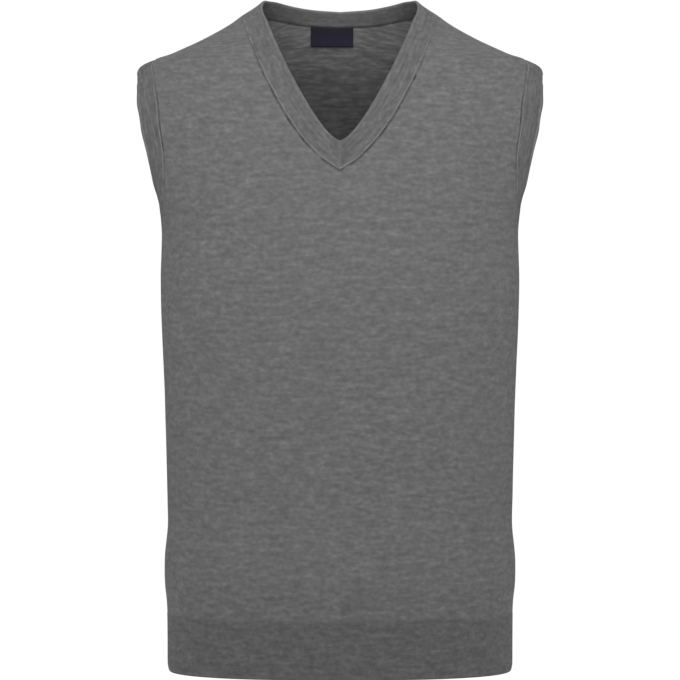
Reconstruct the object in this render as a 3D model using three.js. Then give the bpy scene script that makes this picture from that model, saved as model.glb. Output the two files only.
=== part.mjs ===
// A V-neck sweater vest in fine-gauge knit, standing open and rounded as if it were worn.
//
// Millimetres, +Z up. The front faces -Y, and +X is the wearer's left. The origin is the middle of
// the neck base, level with the points where the neckband's seam crosses the tops of the shoulders.
//
// Every piece of cloth is a thin closed wall that lies on one form. The form is a stack of rounded
// level sections, and a place on it is given by its turn round the section (0 at centre front, 90 at
// the wearer's left side, 180 at centre back) and its height. The wearer's left half is worked out,
// and the right half is its mirror image.

import * as THREE from 'three';

// ---------------------------------------------------------------- driving dimensions

const PANEL_WALL = 2.0;
const HEM_RIB_WALL = 2.4;
const BAND_WALL = 3.0;
const LABEL_WALL = 1.0;
const SEAM_GAP = 0.3;

const HEM_EDGE = -634.3;
const HEM_SEAM = -577;
const UNDERARM = -212;
const SHOULDER_TIP = -42.7;

// Level sections of the worn body, from the collar down. Square is the exponent of the rounded
// section: 2 is an ellipse, and a larger one is squarer.
const FORM = [
  { height: 14, halfWidth: 76, front: 20, back: 55, square: 2.2 },
  { height: 0, halfWidth: 95, front: 33, back: 62, square: 2.2 },
  { height: -8, halfWidth: 106, front: 40, back: 66.5, square: 2.25 },
  { height: -23, halfWidth: 132.5, front: 51, back: 74.5, square: 2.3 },
  { height: -33, halfWidth: 154, front: 58, back: 79.5, square: 2.3 },
  { height: -38, halfWidth: 165.5, front: 61, back: 82, square: 2.35 },
  { height: SHOULDER_TIP, halfWidth: 179, front: 64, back: 84, square: 2.35 },
  { height: -54, halfWidth: 187.5, front: 71, back: 89, square: 2.4 },
  { height: -81, halfWidth: 194.5, front: 86, back: 98.5, square: 2.4 },
  { height: -103, halfWidth: 194.3, front: 97, back: 105, square: 2.4 },
  { height: -137, halfWidth: 187.7, front: 108, back: 112, square: 2.4 },
  { height: -180, halfWidth: 178.8, front: 117, back: 117, square: 2.4 },
  { height: UNDERARM, halfWidth: 172.5, front: 121, back: 117.5, square: 2.4 },
  { height: -256, halfWidth: 173.6, front: 123, back: 115, square: 2.4 },
  { height: -372, halfWidth: 169.6, front: 115, back: 101, square: 2.35 },
  { height: -469, halfWidth: 167.1, front: 111, back: 98, square: 2.3 },
  { height: -489, halfWidth: 166.7, front: 112, back: 99.5, square: 2.3 },
  { height: -528, halfWidth: 169.8, front: 116, back: 106, square: 2.3 },
  { height: -547, halfWidth: 169.9, front: 117.5, back: 107.5, square: 2.3 },
  { height: HEM_SEAM, halfWidth: 168.2, front: 115.5, back: 108, square: 2.3 },
  { height: HEM_EDGE, halfWidth: 167.4, front: 114, back: 108, square: 2.3 },
];

// The neck, from the V point up the wearer's left leg, over the shoulder and round to centre back.
// The seam lies on the form, so it has only its distance from the centre line and its height. The
// free edge of the band is at edgeX, edgeY, edgeZ.
const NECK = [
  { seamX: 0, seamZ: -155, edgeX: 0, edgeY: -104.5, edgeZ: -126.4 },
  { seamX: 14, seamZ: -146, edgeX: 3.5, edgeY: -104, edgeZ: -124.5 },
  { seamX: 27, seamZ: -134, edgeX: 9.5, edgeY: -102.5, edgeZ: -119.7 },
  { seamX: 38, seamZ: -121, edgeX: 19.7, edgeY: -98, edgeZ: -107 },
  { seamX: 50, seamZ: -103.5, edgeX: 29.7, edgeY: -90, edgeZ: -91 },
  { seamX: 60.5, seamZ: -85, edgeX: 39.5, edgeY: -80, edgeZ: -73.5 },
  { seamX: 69, seamZ: -68.5, edgeX: 47.5, edgeY: -71, edgeZ: -58 },
  { seamX: 76.5, seamZ: -52, edgeX: 54.3, edgeY: -61.5, edgeZ: -43.5 },
  { seamX: 83, seamZ: -36, edgeX: 60.5, edgeY: -51.5, edgeZ: -29.6 },
  { seamX: 88.5, seamZ: -22, edgeX: 66, edgeY: -41, edgeZ: -17 },
  { seamX: 92.5, seamZ: -10, edgeX: 70.5, edgeY: -29, edgeZ: -5.5 },
  { seamX: 94.5, seamZ: -3, edgeX: 74, edgeY: -15.5, edgeZ: 3 },
  { seamX: 95, seamZ: 0, edgeX: 75.5, edgeY: 0, edgeZ: 11 },
  { seamX: 91.5, seamZ: 2, edgeX: 73, edgeY: 15.5, edgeZ: 17 },
  { seamX: 81, seamZ: 2.8, edgeX: 65.1, edgeY: 31.5, edgeZ: 17.2 },
  { seamX: 60, seamZ: 0.5, edgeX: 48.9, edgeY: 45.5, edgeZ: 14.3 },
  { seamX: 32, seamZ: -3.5, edgeX: 27, edgeY: 53, edgeZ: 11.1 },
  { seamX: 0, seamZ: -4.8, edgeX: 0, edgeY: 55.5, edgeZ: 9.5 },
];
const NECK_POINT_ROW = 12;

// The armhole is an egg seen square from the side, cut through the form. Reach is how far it goes
// to the front or back of the shoulder ridge, and lowBelly makes its lower half the fuller one.
const ARMHOLE = {
  front: { reach: 58, lowBelly: 0.12, edgeReach: 44 },
  back: { reach: 52, lowBelly: 0.05, edgeReach: 37 },
};
const ARMBAND_EDGE_TOP = -58;
const ARMBAND_EDGE_BOTTOM = -191;

// How far the armband's free edge stands out sideways from its seam, by degrees round the hole from
// the underarm (0) to the shoulder tip (180).
const ARMBAND_FLARE = [
  { round: 0, front: 1, back: 1 },
  { round: 30, front: 3.5, back: 3.5 },
  { round: 60, front: 12, back: 12 },
  { round: 90, front: 18, back: 15.6 },
  { round: 120, front: 18.8, back: 15.2 },
  { round: 150, front: 15.2, back: 14.5 },
  { round: 180, front: 17, back: 17 },
];

// A band leaves its seam in line with the panel and bends towards its free edge. The middle point
// of that curve lies this share of the band's width out from the seam.
const BAND_REACH = 0.5;

// Within this many columns of the shoulder tip, the armband first carries on the slope that the
// shoulder has over its last TIP_RUN in height, and TIP_REACH makes it turn down further out.
const TIP_COLUMNS = 3;
const TIP_RUN = 4;
const TIP_REACH = 0.45;

// The woven neck label hangs inside, from the middle of the back neck seam. The panel's flat facets
// stand in a little from the form, and LABEL_CLEAR is the room left between the two.
const LABEL_LEFT = 13;
const LABEL_RIGHT = -29;
const LABEL_TOP = -6;
const LABEL_BOTTOM = -22.5;
const LABEL_CLEAR = 0.7;

// Turns round the form.
const CENTRE_TURN = { front: 0, back: 180 };
const SIDE_TURN = 90;

// How finely each piece is divided.
const COLUMNS = 12;
const BODY_ROWS = 12;
const ARMHOLE_ROWS = 17;
const NECK_ROWS = { front: NECK_POINT_ROW, back: NECK.length - 1 - NECK_POINT_ROW };
const HEM_ROWS = 2;
const BAND_ROWS = 4;
const LABEL_COLUMNS = 6;
const LABEL_ROWS = 3;

// ---------------------------------------------------------------- reading the tables

// A smooth reading of one column of a table, which never overshoots its rows.
function readTable(table, key, column, at) {
  const rising = table[table.length - 1][key] > table[0][key];
  let low = 0;
  while (low < table.length - 2 && (table[low + 1][key] < at) === rising) low += 1;
  const slope = (i) => (table[i + 1][column] - table[i][column]) / (table[i + 1][key] - table[i][key]);
  const tangent = (i) => {
    if (i === 0) return slope(0);
    if (i === table.length - 1) return slope(i - 1);
    const before = slope(i - 1);
    const after = slope(i);
    return before * after <= 0 ? 0 : (2 * before * after) / (before + after);
  };
  const step = table[low + 1][key] - table[low][key];
  const t = (at - table[low][key]) / step;
  const from = table[low][column];
  const to = table[low + 1][column];
  const bendFrom = tangent(low) * step;
  const bendTo = tangent(low + 1) * step;
  return (
    from * (1 + 2 * t) * (1 - t) ** 2 +
    bendFrom * t * (1 - t) ** 2 +
    to * t * t * (3 - 2 * t) +
    bendTo * t * t * (t - 1)
  );
}

function section(height) {
  return {
    halfWidth: readTable(FORM, 'height', 'halfWidth', height),
    front: readTable(FORM, 'height', 'front', height),
    back: readTable(FORM, 'height', 'back', height),
    square: readTable(FORM, 'height', 'square', height),
  };
}

// ---------------------------------------------------------------- the form

// A point of the form.
function formPoint({ turn, height }) {
  const { halfWidth, front, back, square } = section(height);
  const angle = THREE.MathUtils.degToRad(turn);
  const across = Math.sin(angle);
  const along = -Math.cos(angle);
  const stretch = (Math.abs(across) ** square + Math.abs(along) ** square) ** (-1 / square);
  const depth = along < 0 ? front : back;
  return new THREE.Vector3(halfWidth * across * stretch, depth * along * stretch, height);
}

// The direction straight out of the form, from the places a short way to each side.
function formNormal({ turn, height }) {
  const nudge = 0.2;
  const right = formPoint({ turn: turn - nudge, height });
  const left = formPoint({ turn: turn + nudge, height });
  const below = formPoint({ turn, height: height - nudge });
  const above = formPoint({ turn, height: height + nudge });
  return left.sub(right).cross(above.sub(below)).normalize();
}

// The place on the wearer's left whose direction from the middle is across : along.
function placeTowards(face, across, along, height) {
  const turn = THREE.MathUtils.radToDeg(Math.atan2(across, along));
  return { turn: face === 'front' ? turn : CENTRE_TURN.back - turn, height };
}

// The same for a given distance from the centre line (x).
function placeAtX(face, x, height) {
  const { halfWidth, square } = section(height);
  const across = Math.min(x / halfWidth, 1);
  return placeTowards(face, across, (1 - across ** square) ** (1 / square), height);
}

// The same for a given distance from the shoulder ridge (y).
function placeAtY(face, y, height) {
  const { [face]: depth, square } = section(height);
  const along = Math.min(y / depth, 1);
  return placeTowards(face, (1 - along ** square) ** (1 / square), along, height);
}

// ---------------------------------------------------------------- seam lines

// The places of the neck seam, row by row from the V point to centre back.
const neckPlaces = NECK.map(({ seamX, seamZ }, row) => {
  if (row === NECK_POINT_ROW) return { turn: SIDE_TURN, height: seamZ };
  return placeAtX(row < NECK_POINT_ROW ? 'front' : 'back', seamX, seamZ);
});

// The places of the armhole seam on one face, from the underarm up to the shoulder tip.
function armholePlaces(face) {
  const { reach, lowBelly } = ARMHOLE[face];
  const middle = (UNDERARM + SHOULDER_TIP) / 2;
  const halfHeight = (SHOULDER_TIP - UNDERARM) / 2;
  return Array.from({ length: ARMHOLE_ROWS + 1 }, (_, row) => {
    if (row === 0) return { turn: SIDE_TURN, height: UNDERARM };
    if (row === ARMHOLE_ROWS) return { turn: SIDE_TURN, height: SHOULDER_TIP };
    const angle = (Math.PI * row) / ARMHOLE_ROWS;
    const y = reach * Math.sin(angle) * (1 + lowBelly * Math.cos(angle));
    return placeAtY(face, y, middle - halfHeight * Math.cos(angle));
  });
}

// The seam's points in three dimensions, each with the form's normal there and the direction that
// lies in the form, square to the seam. The direction points to the left of the way the seam runs.
function seamLine(places, closed) {
  const points = places.map(formPoint);
  const last = points.length - 1;
  return places.map((place, i) => {
    const before = i > 0 ? points[i - 1] : points[closed ? last : 0];
    const after = i < last ? points[i + 1] : points[closed ? 0 : last];
    const normal = formNormal(place);
    const inward = normal.clone().cross(after.clone().sub(before)).normalize();
    return { point: points[i], normal, inward };
  });
}

// The whole neck seam, from the V point up the left leg, round the back and down to the V point.
const mirrored = ({ turn, height }) => ({ turn: -turn, height });
const wholeNeck = [...neckPlaces, ...neckPlaces.slice(0, -1).reverse().map(mirrored)];
const neckSeam = seamLine(wholeNeck, false);
const frontNormal = formNormal(neckPlaces[0]);
for (const end of [neckSeam[0], neckSeam[neckSeam.length - 1]]) {
  end.normal = frontNormal.clone().setX(0).normalize();
  end.inward = new THREE.Vector3(1, 0, 0).cross(end.normal).negate();
}

// The wearer's left armhole seam, from the underarm up the back, over the tip and down the front.
const leftArmhole = [...armholePlaces('back'), ...armholePlaces('front').slice(1, -1).reverse()];
const armholeSeam = seamLine(leftArmhole, true);

// ---------------------------------------------------------------- walls of cloth

// The outer face of a piece of cloth: grids of corners, each a point with its normal. Corners that
// fall on the same spot are one, so grids that share an edge are joined along it.
class Sheet {
  corners = [];
  quads = [];
  known = new Map();

  index(corner) {
    const key = corner.point.toArray().map((value) => value.toFixed(3)).join();
    if (!this.known.has(key)) {
      this.known.set(key, this.corners.length);
      this.corners.push(corner);
    }
    return this.known.get(key);
  }

  // Columns run along the turn or the seam, and rows run up or into the opening.
  addGrid(rows) {
    for (let row = 0; row < rows.length - 1; row += 1) {
      for (let column = 0; column < rows[row].length - 1; column += 1) {
        const ring = [
          rows[row][column],
          rows[row][column + 1],
          rows[row + 1][column + 1],
          rows[row + 1][column],
        ];
        this.quads.push(ring.map((corner) => this.index(corner)));
      }
    }
    return this;
  }

  // The closed wall of cloth behind this face.
  thicken(wall) {
    const count = this.corners.length;
    const under = this.corners.map(({ point, normal }) => point.clone().addScaledVector(normal, -wall));
    const edges = new Set();
    for (const quad of this.quads) {
      quad.forEach((from, i) => edges.add(`${from},${quad[(i + 1) % 4]}`));
    }
    const faces = [];
    for (const [a, b, c, d] of this.quads) {
      faces.push([a, b, c, d], [d + count, c + count, b + count, a + count]);
    }
    for (const edge of edges) {
      const [from, to] = edge.split(',').map(Number);
      if (!edges.has(`${to},${from}`)) faces.push([to, from, from + count, to + count]);
    }
    const geometry = new THREE.BufferGeometry().setFromPoints([
      ...this.corners.map(({ point }) => point),
      ...under,
    ]);
    geometry.setIndex(faces.flatMap(([a, b, c, d]) => [a, b, c, a, c, d]));
    geometry.computeVertexNormals();
    return geometry;
  }
}

const mirror = ({ point, normal }) => ({
  point: point.clone().setX(-point.x),
  normal: normal.clone().setX(-normal.x),
});

const between = (from, to, share) => from + (to - from) * share;

// ---------------------------------------------------------------- front and back panels

const CLEAR = SEAM_GAP / 2;

// A corner of a panel or rib. On the shoulder and side seams it stops short of the other face.
function panelCorner(face, place) {
  const kept = place.turn === SIDE_TURN ? placeAtY(face, CLEAR, place.height) : place;
  return { point: formPoint(kept), normal: formNormal(kept) };
}

// The same for a corner on a band's seam, where the panel stops short of the band.
function seamCorner(face, place, { inward }) {
  const { point, normal } = panelCorner(face, place);
  return { point: point.addScaledVector(inward, -CLEAR), normal };
}

// One row of a panel's left half, from the centre line or neck seam to the side seam or armhole.
function panelRow(face, row) {
  const above = row - BODY_ROWS;
  const rowsToNeck = ARMHOLE_ROWS - NECK_ROWS[face];
  const centreNeck = face === 'front' ? 0 : NECK.length - 1;
  const neckRow = Math.abs(centreNeck - Math.max(above - rowsToNeck, 0));
  const armholeIndex = face === 'back' ? above : (2 * ARMHOLE_ROWS - above) % (2 * ARMHOLE_ROWS);
  let inner;
  let outer;
  if (above <= 0) {
    const height = between(HEM_SEAM + CLEAR, UNDERARM, row / BODY_ROWS);
    inner = { turn: CENTRE_TURN[face], height };
    outer = { turn: SIDE_TURN, height };
  } else {
    const topOfCentre = neckPlaces[centreNeck].height;
    const share = Math.min(above / rowsToNeck, 1);
    inner = above <= rowsToNeck
      ? { turn: CENTRE_TURN[face], height: between(UNDERARM, topOfCentre, share) }
      : neckPlaces[neckRow];
    outer = leftArmhole[armholeIndex];
  }
  return Array.from({ length: COLUMNS + 1 }, (_, column) => {
    const share = column / COLUMNS;
    const place = {
      turn: between(inner.turn, outer.turn, share),
      height: between(inner.height, outer.height, share),
    };
    if (column === COLUMNS && above >= 0) return seamCorner(face, place, armholeSeam[armholeIndex]);
    if (column === 0 && above >= rowsToNeck) return seamCorner(face, place, neckSeam[neckRow]);
    return panelCorner(face, place);
  });
}

// Both halves, with each row running the way the turn grows.
function bothHalves(face, leftRows) {
  const rightRows = leftRows.map((row) => row.map(mirror));
  const backwards = (rows) => rows.map((row) => [...row].reverse());
  return face === 'front'
    ? new Sheet().addGrid(backwards(rightRows)).addGrid(leftRows)
    : new Sheet().addGrid(backwards(leftRows)).addGrid(rightRows);
}

function makePanel(face) {
  const rows = Array.from({ length: BODY_ROWS + ARMHOLE_ROWS + 1 }, (_, row) => panelRow(face, row));
  return bothHalves(face, rows).thicken(PANEL_WALL);
}

function makeHemRib(face) {
  const rows = Array.from({ length: HEM_ROWS + 1 }, (_, row) =>
    Array.from({ length: COLUMNS + 1 }, (__, column) =>
      panelCorner(face, {
        turn: between(CENTRE_TURN[face], SIDE_TURN, column / COLUMNS),
        height: between(HEM_EDGE, HEM_SEAM - CLEAR, row / HEM_ROWS),
      }),
    ),
  );
  return bothHalves(face, rows).thicken(HEM_RIB_WALL);
}

// ---------------------------------------------------------------- bands

// A band leaves the form along its seam's inward direction and bends towards its free edge. Its
// outer face is a grid that runs along the seam.
function bandSheet(seam, edges, closed) {
  const curves = seam.map(({ point, inward, reach = BAND_REACH }, i) => {
    const start = point.clone().addScaledVector(inward, CLEAR);
    const width = start.distanceTo(edges[i]);
    const middle = start.clone().addScaledVector(inward, width * reach);
    return new THREE.QuadraticBezierCurve3(start, middle, edges[i]);
  });
  const count = curves.length;
  const pointAt = (row, column) => curves[(column + count) % count].getPoint(row / BAND_ROWS);
  const rows = Array.from({ length: BAND_ROWS + 1 }, (_, row) =>
    curves.map((__, column) => {
      const point = pointAt(row, column);
      if (row === 0) return { point, normal: seam[column].normal };
      const before = pointAt(row, closed ? column - 1 : Math.max(column - 1, 0));
      const after = pointAt(row, closed ? column + 1 : Math.min(column + 1, count - 1));
      const across = pointAt(Math.min(row + 1, BAND_ROWS), column).sub(pointAt(row - 1, column));
      return { point, normal: after.sub(before).cross(across).normalize() };
    }),
  );
  if (closed) rows.forEach((row) => row.push(row[0]));
  return rows;
}

// The neckband is one strip, and its two ends meet in a mitre below the V.
function makeNeckband() {
  const leftEdges = NECK.map(({ edgeX, edgeY, edgeZ }) => new THREE.Vector3(edgeX, edgeY, edgeZ));
  const rightEdges = leftEdges.slice(0, -1).reverse().map((edge) => edge.clone().setX(-edge.x));
  const rows = bandSheet(neckSeam, [...leftEdges, ...rightEdges], false);
  for (const row of rows) {
    for (const [end, x] of [[row[0], CLEAR], [row[row.length - 1], -CLEAR]]) {
      end.point.setX(x);
      end.normal = end.normal.clone().setX(0).normalize();
    }
  }
  return new Sheet().addGrid(rows).thicken(BAND_WALL);
}

// The free edge of the left armband beside each point of its seam.
function armbandEdge({ point }, index) {
  const face = index > 0 && index <= ARMHOLE_ROWS ? 'back' : 'front';
  const row = face === 'back' ? index : (2 * ARMHOLE_ROWS - index) % (2 * ARMHOLE_ROWS);
  const round = (180 * row) / ARMHOLE_ROWS;
  const angle = THREE.MathUtils.degToRad(round);
  const { edgeReach, lowBelly } = ARMHOLE[face];
  const middle = (ARMBAND_EDGE_TOP + ARMBAND_EDGE_BOTTOM) / 2;
  const halfHeight = (ARMBAND_EDGE_TOP - ARMBAND_EDGE_BOTTOM) / 2;
  const reach = edgeReach * Math.sin(angle) * (1 + lowBelly * Math.cos(angle));
  return new THREE.Vector3(
    point.x + readTable(ARMBAND_FLARE, 'round', face, round),
    face === 'front' ? -reach : reach,
    middle - halfHeight * Math.cos(angle),
  );
}

// The left armband, or its mirror image. Near the shoulder tip it carries on the shoulder's slope.
function makeArmband(side) {
  const beforeTip = formPoint({ turn: SIDE_TURN, height: SHOULDER_TIP + TIP_RUN });
  const shoulder = formPoint({ turn: SIDE_TURN, height: SHOULDER_TIP }).sub(beforeTip).normalize();
  const seam = armholeSeam.map((corner, index) => {
    const nearTip = Math.max(0, 1 - Math.abs(index - ARMHOLE_ROWS) / TIP_COLUMNS);
    const inward = corner.inward.clone().lerp(shoulder, nearTip).normalize();
    return { ...corner, inward, reach: BAND_REACH + TIP_REACH * nearTip };
  });
  const rows = bandSheet(seam, seam.map(armbandEdge), true);
  if (side === 'left') return new Sheet().addGrid(rows).thicken(BAND_WALL);
  return new Sheet().addGrid(rows.map((row) => row.map(mirror).reverse())).thicken(BAND_WALL);
}

// ---------------------------------------------------------------- label

// The label lies on the inner face of the back panel, so it is made from the same form, moved in.
function makeLabel() {
  const depth = PANEL_WALL + LABEL_CLEAR;
  const rows = Array.from({ length: LABEL_ROWS + 1 }, (_, row) =>
    Array.from({ length: LABEL_COLUMNS + 1 }, (__, column) => {
      const x = between(LABEL_LEFT, LABEL_RIGHT, column / LABEL_COLUMNS);
      const height = between(LABEL_BOTTOM, LABEL_TOP, row / LABEL_ROWS);
      const { turn } = placeAtX('back', Math.abs(x), height);
      const place = { turn: x < 0 ? -turn : turn, height };
      const normal = formNormal(place);
      return { point: formPoint(place).addScaledVector(normal, -depth), normal };
    }),
  );
  return new Sheet().addGrid(rows).thicken(LABEL_WALL);
}

// ---------------------------------------------------------------- the vest

const heatherKnit = { color: 0x6a6a6b, roughness: 0.95, metalness: 0 };
const heatherRib = { color: 0x5c5c5e, roughness: 0.95, metalness: 0 };
const wovenLabel = { color: 0x26242f, roughness: 0.7, metalness: 0 };

const pieces = [
  ['front_panel', makePanel('front'), heatherKnit],
  ['back_panel', makePanel('back'), heatherKnit],
  ['hem_rib_front', makeHemRib('front'), heatherRib],
  ['hem_rib_back', makeHemRib('back'), heatherRib],
  ['neckband', makeNeckband(), heatherKnit],
  ['armband_left', makeArmband('left'), heatherKnit],
  ['armband_right', makeArmband('right'), heatherKnit],
  ['neck_label', makeLabel(), wovenLabel],
];

const vest = new THREE.Group();
for (const [name, geometry, finish] of pieces) {
  const mesh = new THREE.Mesh(geometry, new THREE.MeshStandardMaterial(finish));
  mesh.name = name;
  vest.add(mesh);
}

export default vest;
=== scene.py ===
# %% [markdown]
# # A V-neck sweater vest in fine heather-grey knit
#
# A slipover like this comes off a flat knitting machine with about fourteen needles to the inch.
# Front and back are single jersey, a one-by-one rib is knitted on below each, and the neck and
# armholes are finished with doubled bands that are linked on, loop by loop. Nobody is inside the
# vest, but it keeps the round form of being worn.
#
# The CAD model already holds every size. This file loads it as a fixed frame and gives each piece
# its knitted surface: a finer mesh on the same form, soft folds, real seams and a heathered yarn.
# Lengths on the garment are in millimetres until its mesh is made, because a knitter thinks in
# them. The camera, the studio and the flat sizes of the sheets are in metres.

# %% Load the fixed frame
import math

import bmesh
import bpy
import numpy as np
from mathutils import Matrix, Vector, noise
from mathutils.kdtree import KDTree


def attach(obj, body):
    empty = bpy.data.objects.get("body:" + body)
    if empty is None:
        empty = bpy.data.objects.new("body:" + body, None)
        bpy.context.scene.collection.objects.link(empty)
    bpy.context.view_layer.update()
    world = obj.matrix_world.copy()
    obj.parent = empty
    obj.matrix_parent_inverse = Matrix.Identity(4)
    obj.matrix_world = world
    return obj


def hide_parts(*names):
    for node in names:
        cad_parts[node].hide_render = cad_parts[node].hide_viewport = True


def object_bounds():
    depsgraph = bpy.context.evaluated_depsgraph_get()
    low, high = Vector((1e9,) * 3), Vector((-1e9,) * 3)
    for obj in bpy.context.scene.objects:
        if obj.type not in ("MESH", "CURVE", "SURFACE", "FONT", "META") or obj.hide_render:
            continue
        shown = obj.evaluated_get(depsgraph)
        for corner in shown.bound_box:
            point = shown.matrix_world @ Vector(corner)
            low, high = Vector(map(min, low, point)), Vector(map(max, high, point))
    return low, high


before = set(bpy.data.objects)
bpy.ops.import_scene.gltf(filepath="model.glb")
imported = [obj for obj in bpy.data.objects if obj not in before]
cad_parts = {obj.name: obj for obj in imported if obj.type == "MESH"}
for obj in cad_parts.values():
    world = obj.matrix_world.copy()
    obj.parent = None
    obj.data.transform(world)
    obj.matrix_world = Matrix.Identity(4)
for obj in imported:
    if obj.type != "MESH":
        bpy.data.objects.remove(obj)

MM = 0.001
cad_low, cad_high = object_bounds()
print("CAD box in mm:", [round(size / MM) for size in cad_high - cad_low])

# %% [markdown]
# ## Camera
#
# The camera comes first, because everything after it is seen through it. It stands level with
# the middle of the vest, straight in front and well back, so a long lens keeps the sides from
# spreading. The lens follows from how wide a strip it should take in at the vest.

# %% Place the camera
CAMERA_DISTANCE = 3.45
CAMERA_HEIGHT = -0.3143
VIEW_WIDTH = 0.6596


def put_in_scene(name, data):
    """A new object with this data, in the scene."""
    made = bpy.data.objects.new(name, data)
    bpy.context.scene.collection.objects.link(made)
    return made


camera_data = bpy.data.cameras.new("camera")
camera_data.lens = camera_data.sensor_width * CAMERA_DISTANCE / VIEW_WIDTH
camera = put_in_scene("camera", camera_data)
camera.location = (0, -CAMERA_DISTANCE, CAMERA_HEIGHT)
camera.rotation_euler = (math.pi / 2, 0, 0)
bpy.context.scene.camera = camera
print(f"lens {camera_data.lens:.0f} mm")

# %% [markdown]
# ## Studio
#
# Knitwear is best seen in soft light, or every stitch would throw a shadow. Here a white world
# lights the vest from all round, and a pale floor lies as far below the hem as a wearer's feet
# would be. A broad key lamp above and in front makes the shoulders a little brighter than the hem.
# A fill lamp low in front shines up through the neck, so that the inside of the back isn't lost.
# The Standard view keeps the greys as they are, where a film-like one would change them.

# %% Describe the studio
FLOOR_DROP = 0.9
FLOOR_RADIUS = 9
FLOOR_GREY = 0.42
FLOOR_ROUGHNESS = 0.8
WORLD_STRENGTH = 1.02
LAMP_SIZE = (1.7, 0.9)
LAMP_SPREAD = math.radians(50)
LAMPS = {
    "key": dict(place=(0, -1.2, 0.55), target=(0, 0, -0.08), power=1.85),
    "fill": dict(place=(0, -1.3, -0.75), target=(0, 0.1, 0.1), power=1.6),
}

# %% Start a material


def start_material(name, roughness, specular=0.5):
    """A new material, with its node tree and its shader."""
    material = bpy.data.materials.new(name)
    material.use_nodes = True
    shader = material.node_tree.nodes["Principled BSDF"]
    shader.inputs["Roughness"].default_value = roughness
    shader.inputs["Specular IOR Level"].default_value = specular
    return material, material.node_tree, shader


# %% Light the studio
bpy.context.scene.view_settings.view_transform = "Standard"
world = bpy.data.worlds.new("white_room")
world.use_nodes = True
world.node_tree.nodes["Background"].inputs["Color"].default_value = (1, 1, 1, 1)
world.node_tree.nodes["Background"].inputs["Strength"].default_value = WORLD_STRENGTH
bpy.context.scene.world = world

for name, lamp in LAMPS.items():
    light = bpy.data.lights.new(name, "AREA")
    light.shape = "RECTANGLE"
    light.size, light.size_y = LAMP_SIZE
    light.energy = lamp["power"]
    light.spread = LAMP_SPREAD
    holder = put_in_scene(name, light)
    holder.location = lamp["place"]
    aim = Vector(lamp["target"]) - Vector(lamp["place"])
    holder.rotation_euler = aim.to_track_quat("-Z", "Y").to_euler()
print("lamps:", list(LAMPS))

# %% Lay the floor
floor_mesh = bmesh.new()
bmesh.ops.create_circle(floor_mesh, cap_ends=True, segments=96, radius=FLOOR_RADIUS)
bmesh.ops.translate(floor_mesh, verts=floor_mesh.verts, vec=(0, 0, cad_low.z - FLOOR_DROP))
floor_data = bpy.data.meshes.new("floor")
floor_mesh.to_mesh(floor_data)
floor_mesh.free()
floor_material, _, floor_shader = start_material("pale_floor", FLOOR_ROUGHNESS)
floor_shader.inputs["Base Color"].default_value = (FLOOR_GREY, FLOOR_GREY, FLOOR_GREY, 1)
floor_data.materials.append(floor_material)
floor = put_in_scene("floor", floor_data)
print(f"floor {FLOOR_DROP} m below the hem")

# %% [markdown]
# ## The worn form
#
# A worn vest has no flat place on it, so its cloth can't be drawn from the front alone. As in the
# CAD source, the form is a stack of level sections with rounded corners, read smoothly from a
# short table. A place on it is a turn (0 at centre front, 90 at the wearer's left side, 180 at
# centre back) and a height. Blender's own curves could be lofted instead, but a formula gives the
# outward direction anywhere, which the seams and folds need.

# %% Read short tables smoothly


class Table:
    """A short table with named columns, read along its first one."""

    def __init__(self, names, rows):
        rows = np.array(sorted(rows), float)
        self.at = rows[:, 0]
        self.columns = dict(zip(names.split(), rows.T))

    def read(self, name, at):
        """One column at these places, on a smooth line that never overshoots the rows."""
        value = self.columns[name]
        slope = np.diff(value) / np.diff(self.at)
        before, after = slope[:-1], slope[1:]
        steady = before * after > 0
        middle = np.where(steady, 2 * before * after / np.where(steady, before + after, 1), 0)
        tangent = np.concatenate([slope[:1], middle, slope[-1:]])
        low = np.clip(np.searchsorted(self.at, at, side="right") - 1, 0, len(value) - 2)
        step = self.at[low + 1] - self.at[low]
        t = (at - self.at[low]) / step
        return (
            value[low] * (1 + 2 * t) * (1 - t) ** 2
            + tangent[low] * step * t * (1 - t) ** 2
            + value[low + 1] * t * t * (3 - 2 * t)
            + tangent[low + 1] * step * t * t * (t - 1)
        )


print("halfway up a slope that levels out:", Table("at value", [(0, 0), (1, 1), (2, 1)]).read("value", 0.5))

# %% Describe the form
HEM_EDGE = -634.3
HEM_SEAM = -577
UNDERARM = -212
SHOULDER_TIP = -42.7
SIDE_TURN = 90
CENTRE_TURN = {"front": 0, "back": 180}

FORM = Table(
    "height half_width front back square",
    [
        (14, 76, 20, 55, 2.2),
        (0, 95, 33, 62, 2.2),
        (-8, 106, 40, 66.5, 2.25),
        (-23, 132.5, 51, 74.5, 2.3),
        (-33, 154, 58, 79.5, 2.3),
        (-38, 165.5, 61, 82, 2.35),
        (SHOULDER_TIP, 179, 64, 84, 2.35),
        (-54, 187.5, 71, 89, 2.4),
        (-81, 194.5, 86, 98.5, 2.4),
        (-103, 194.3, 97, 105, 2.4),
        (-137, 187.7, 108, 112, 2.4),
        (-180, 178.8, 117, 117, 2.4),
        (UNDERARM, 172.5, 121, 117.5, 2.4),
        (-256, 173.6, 123, 115, 2.4),
        (-372, 169.6, 115, 101, 2.35),
        (-469, 167.1, 111, 98, 2.3),
        (-489, 166.7, 112, 99.5, 2.3),
        (-528, 169.8, 116, 106, 2.3),
        (-547, 169.9, 117.5, 107.5, 2.3),
        (HEM_SEAM, 168.2, 115.5, 108, 2.3),
        (HEM_EDGE, 167.4, 114, 108, 2.3),
    ],
)

# %% Work out places on the form


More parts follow.
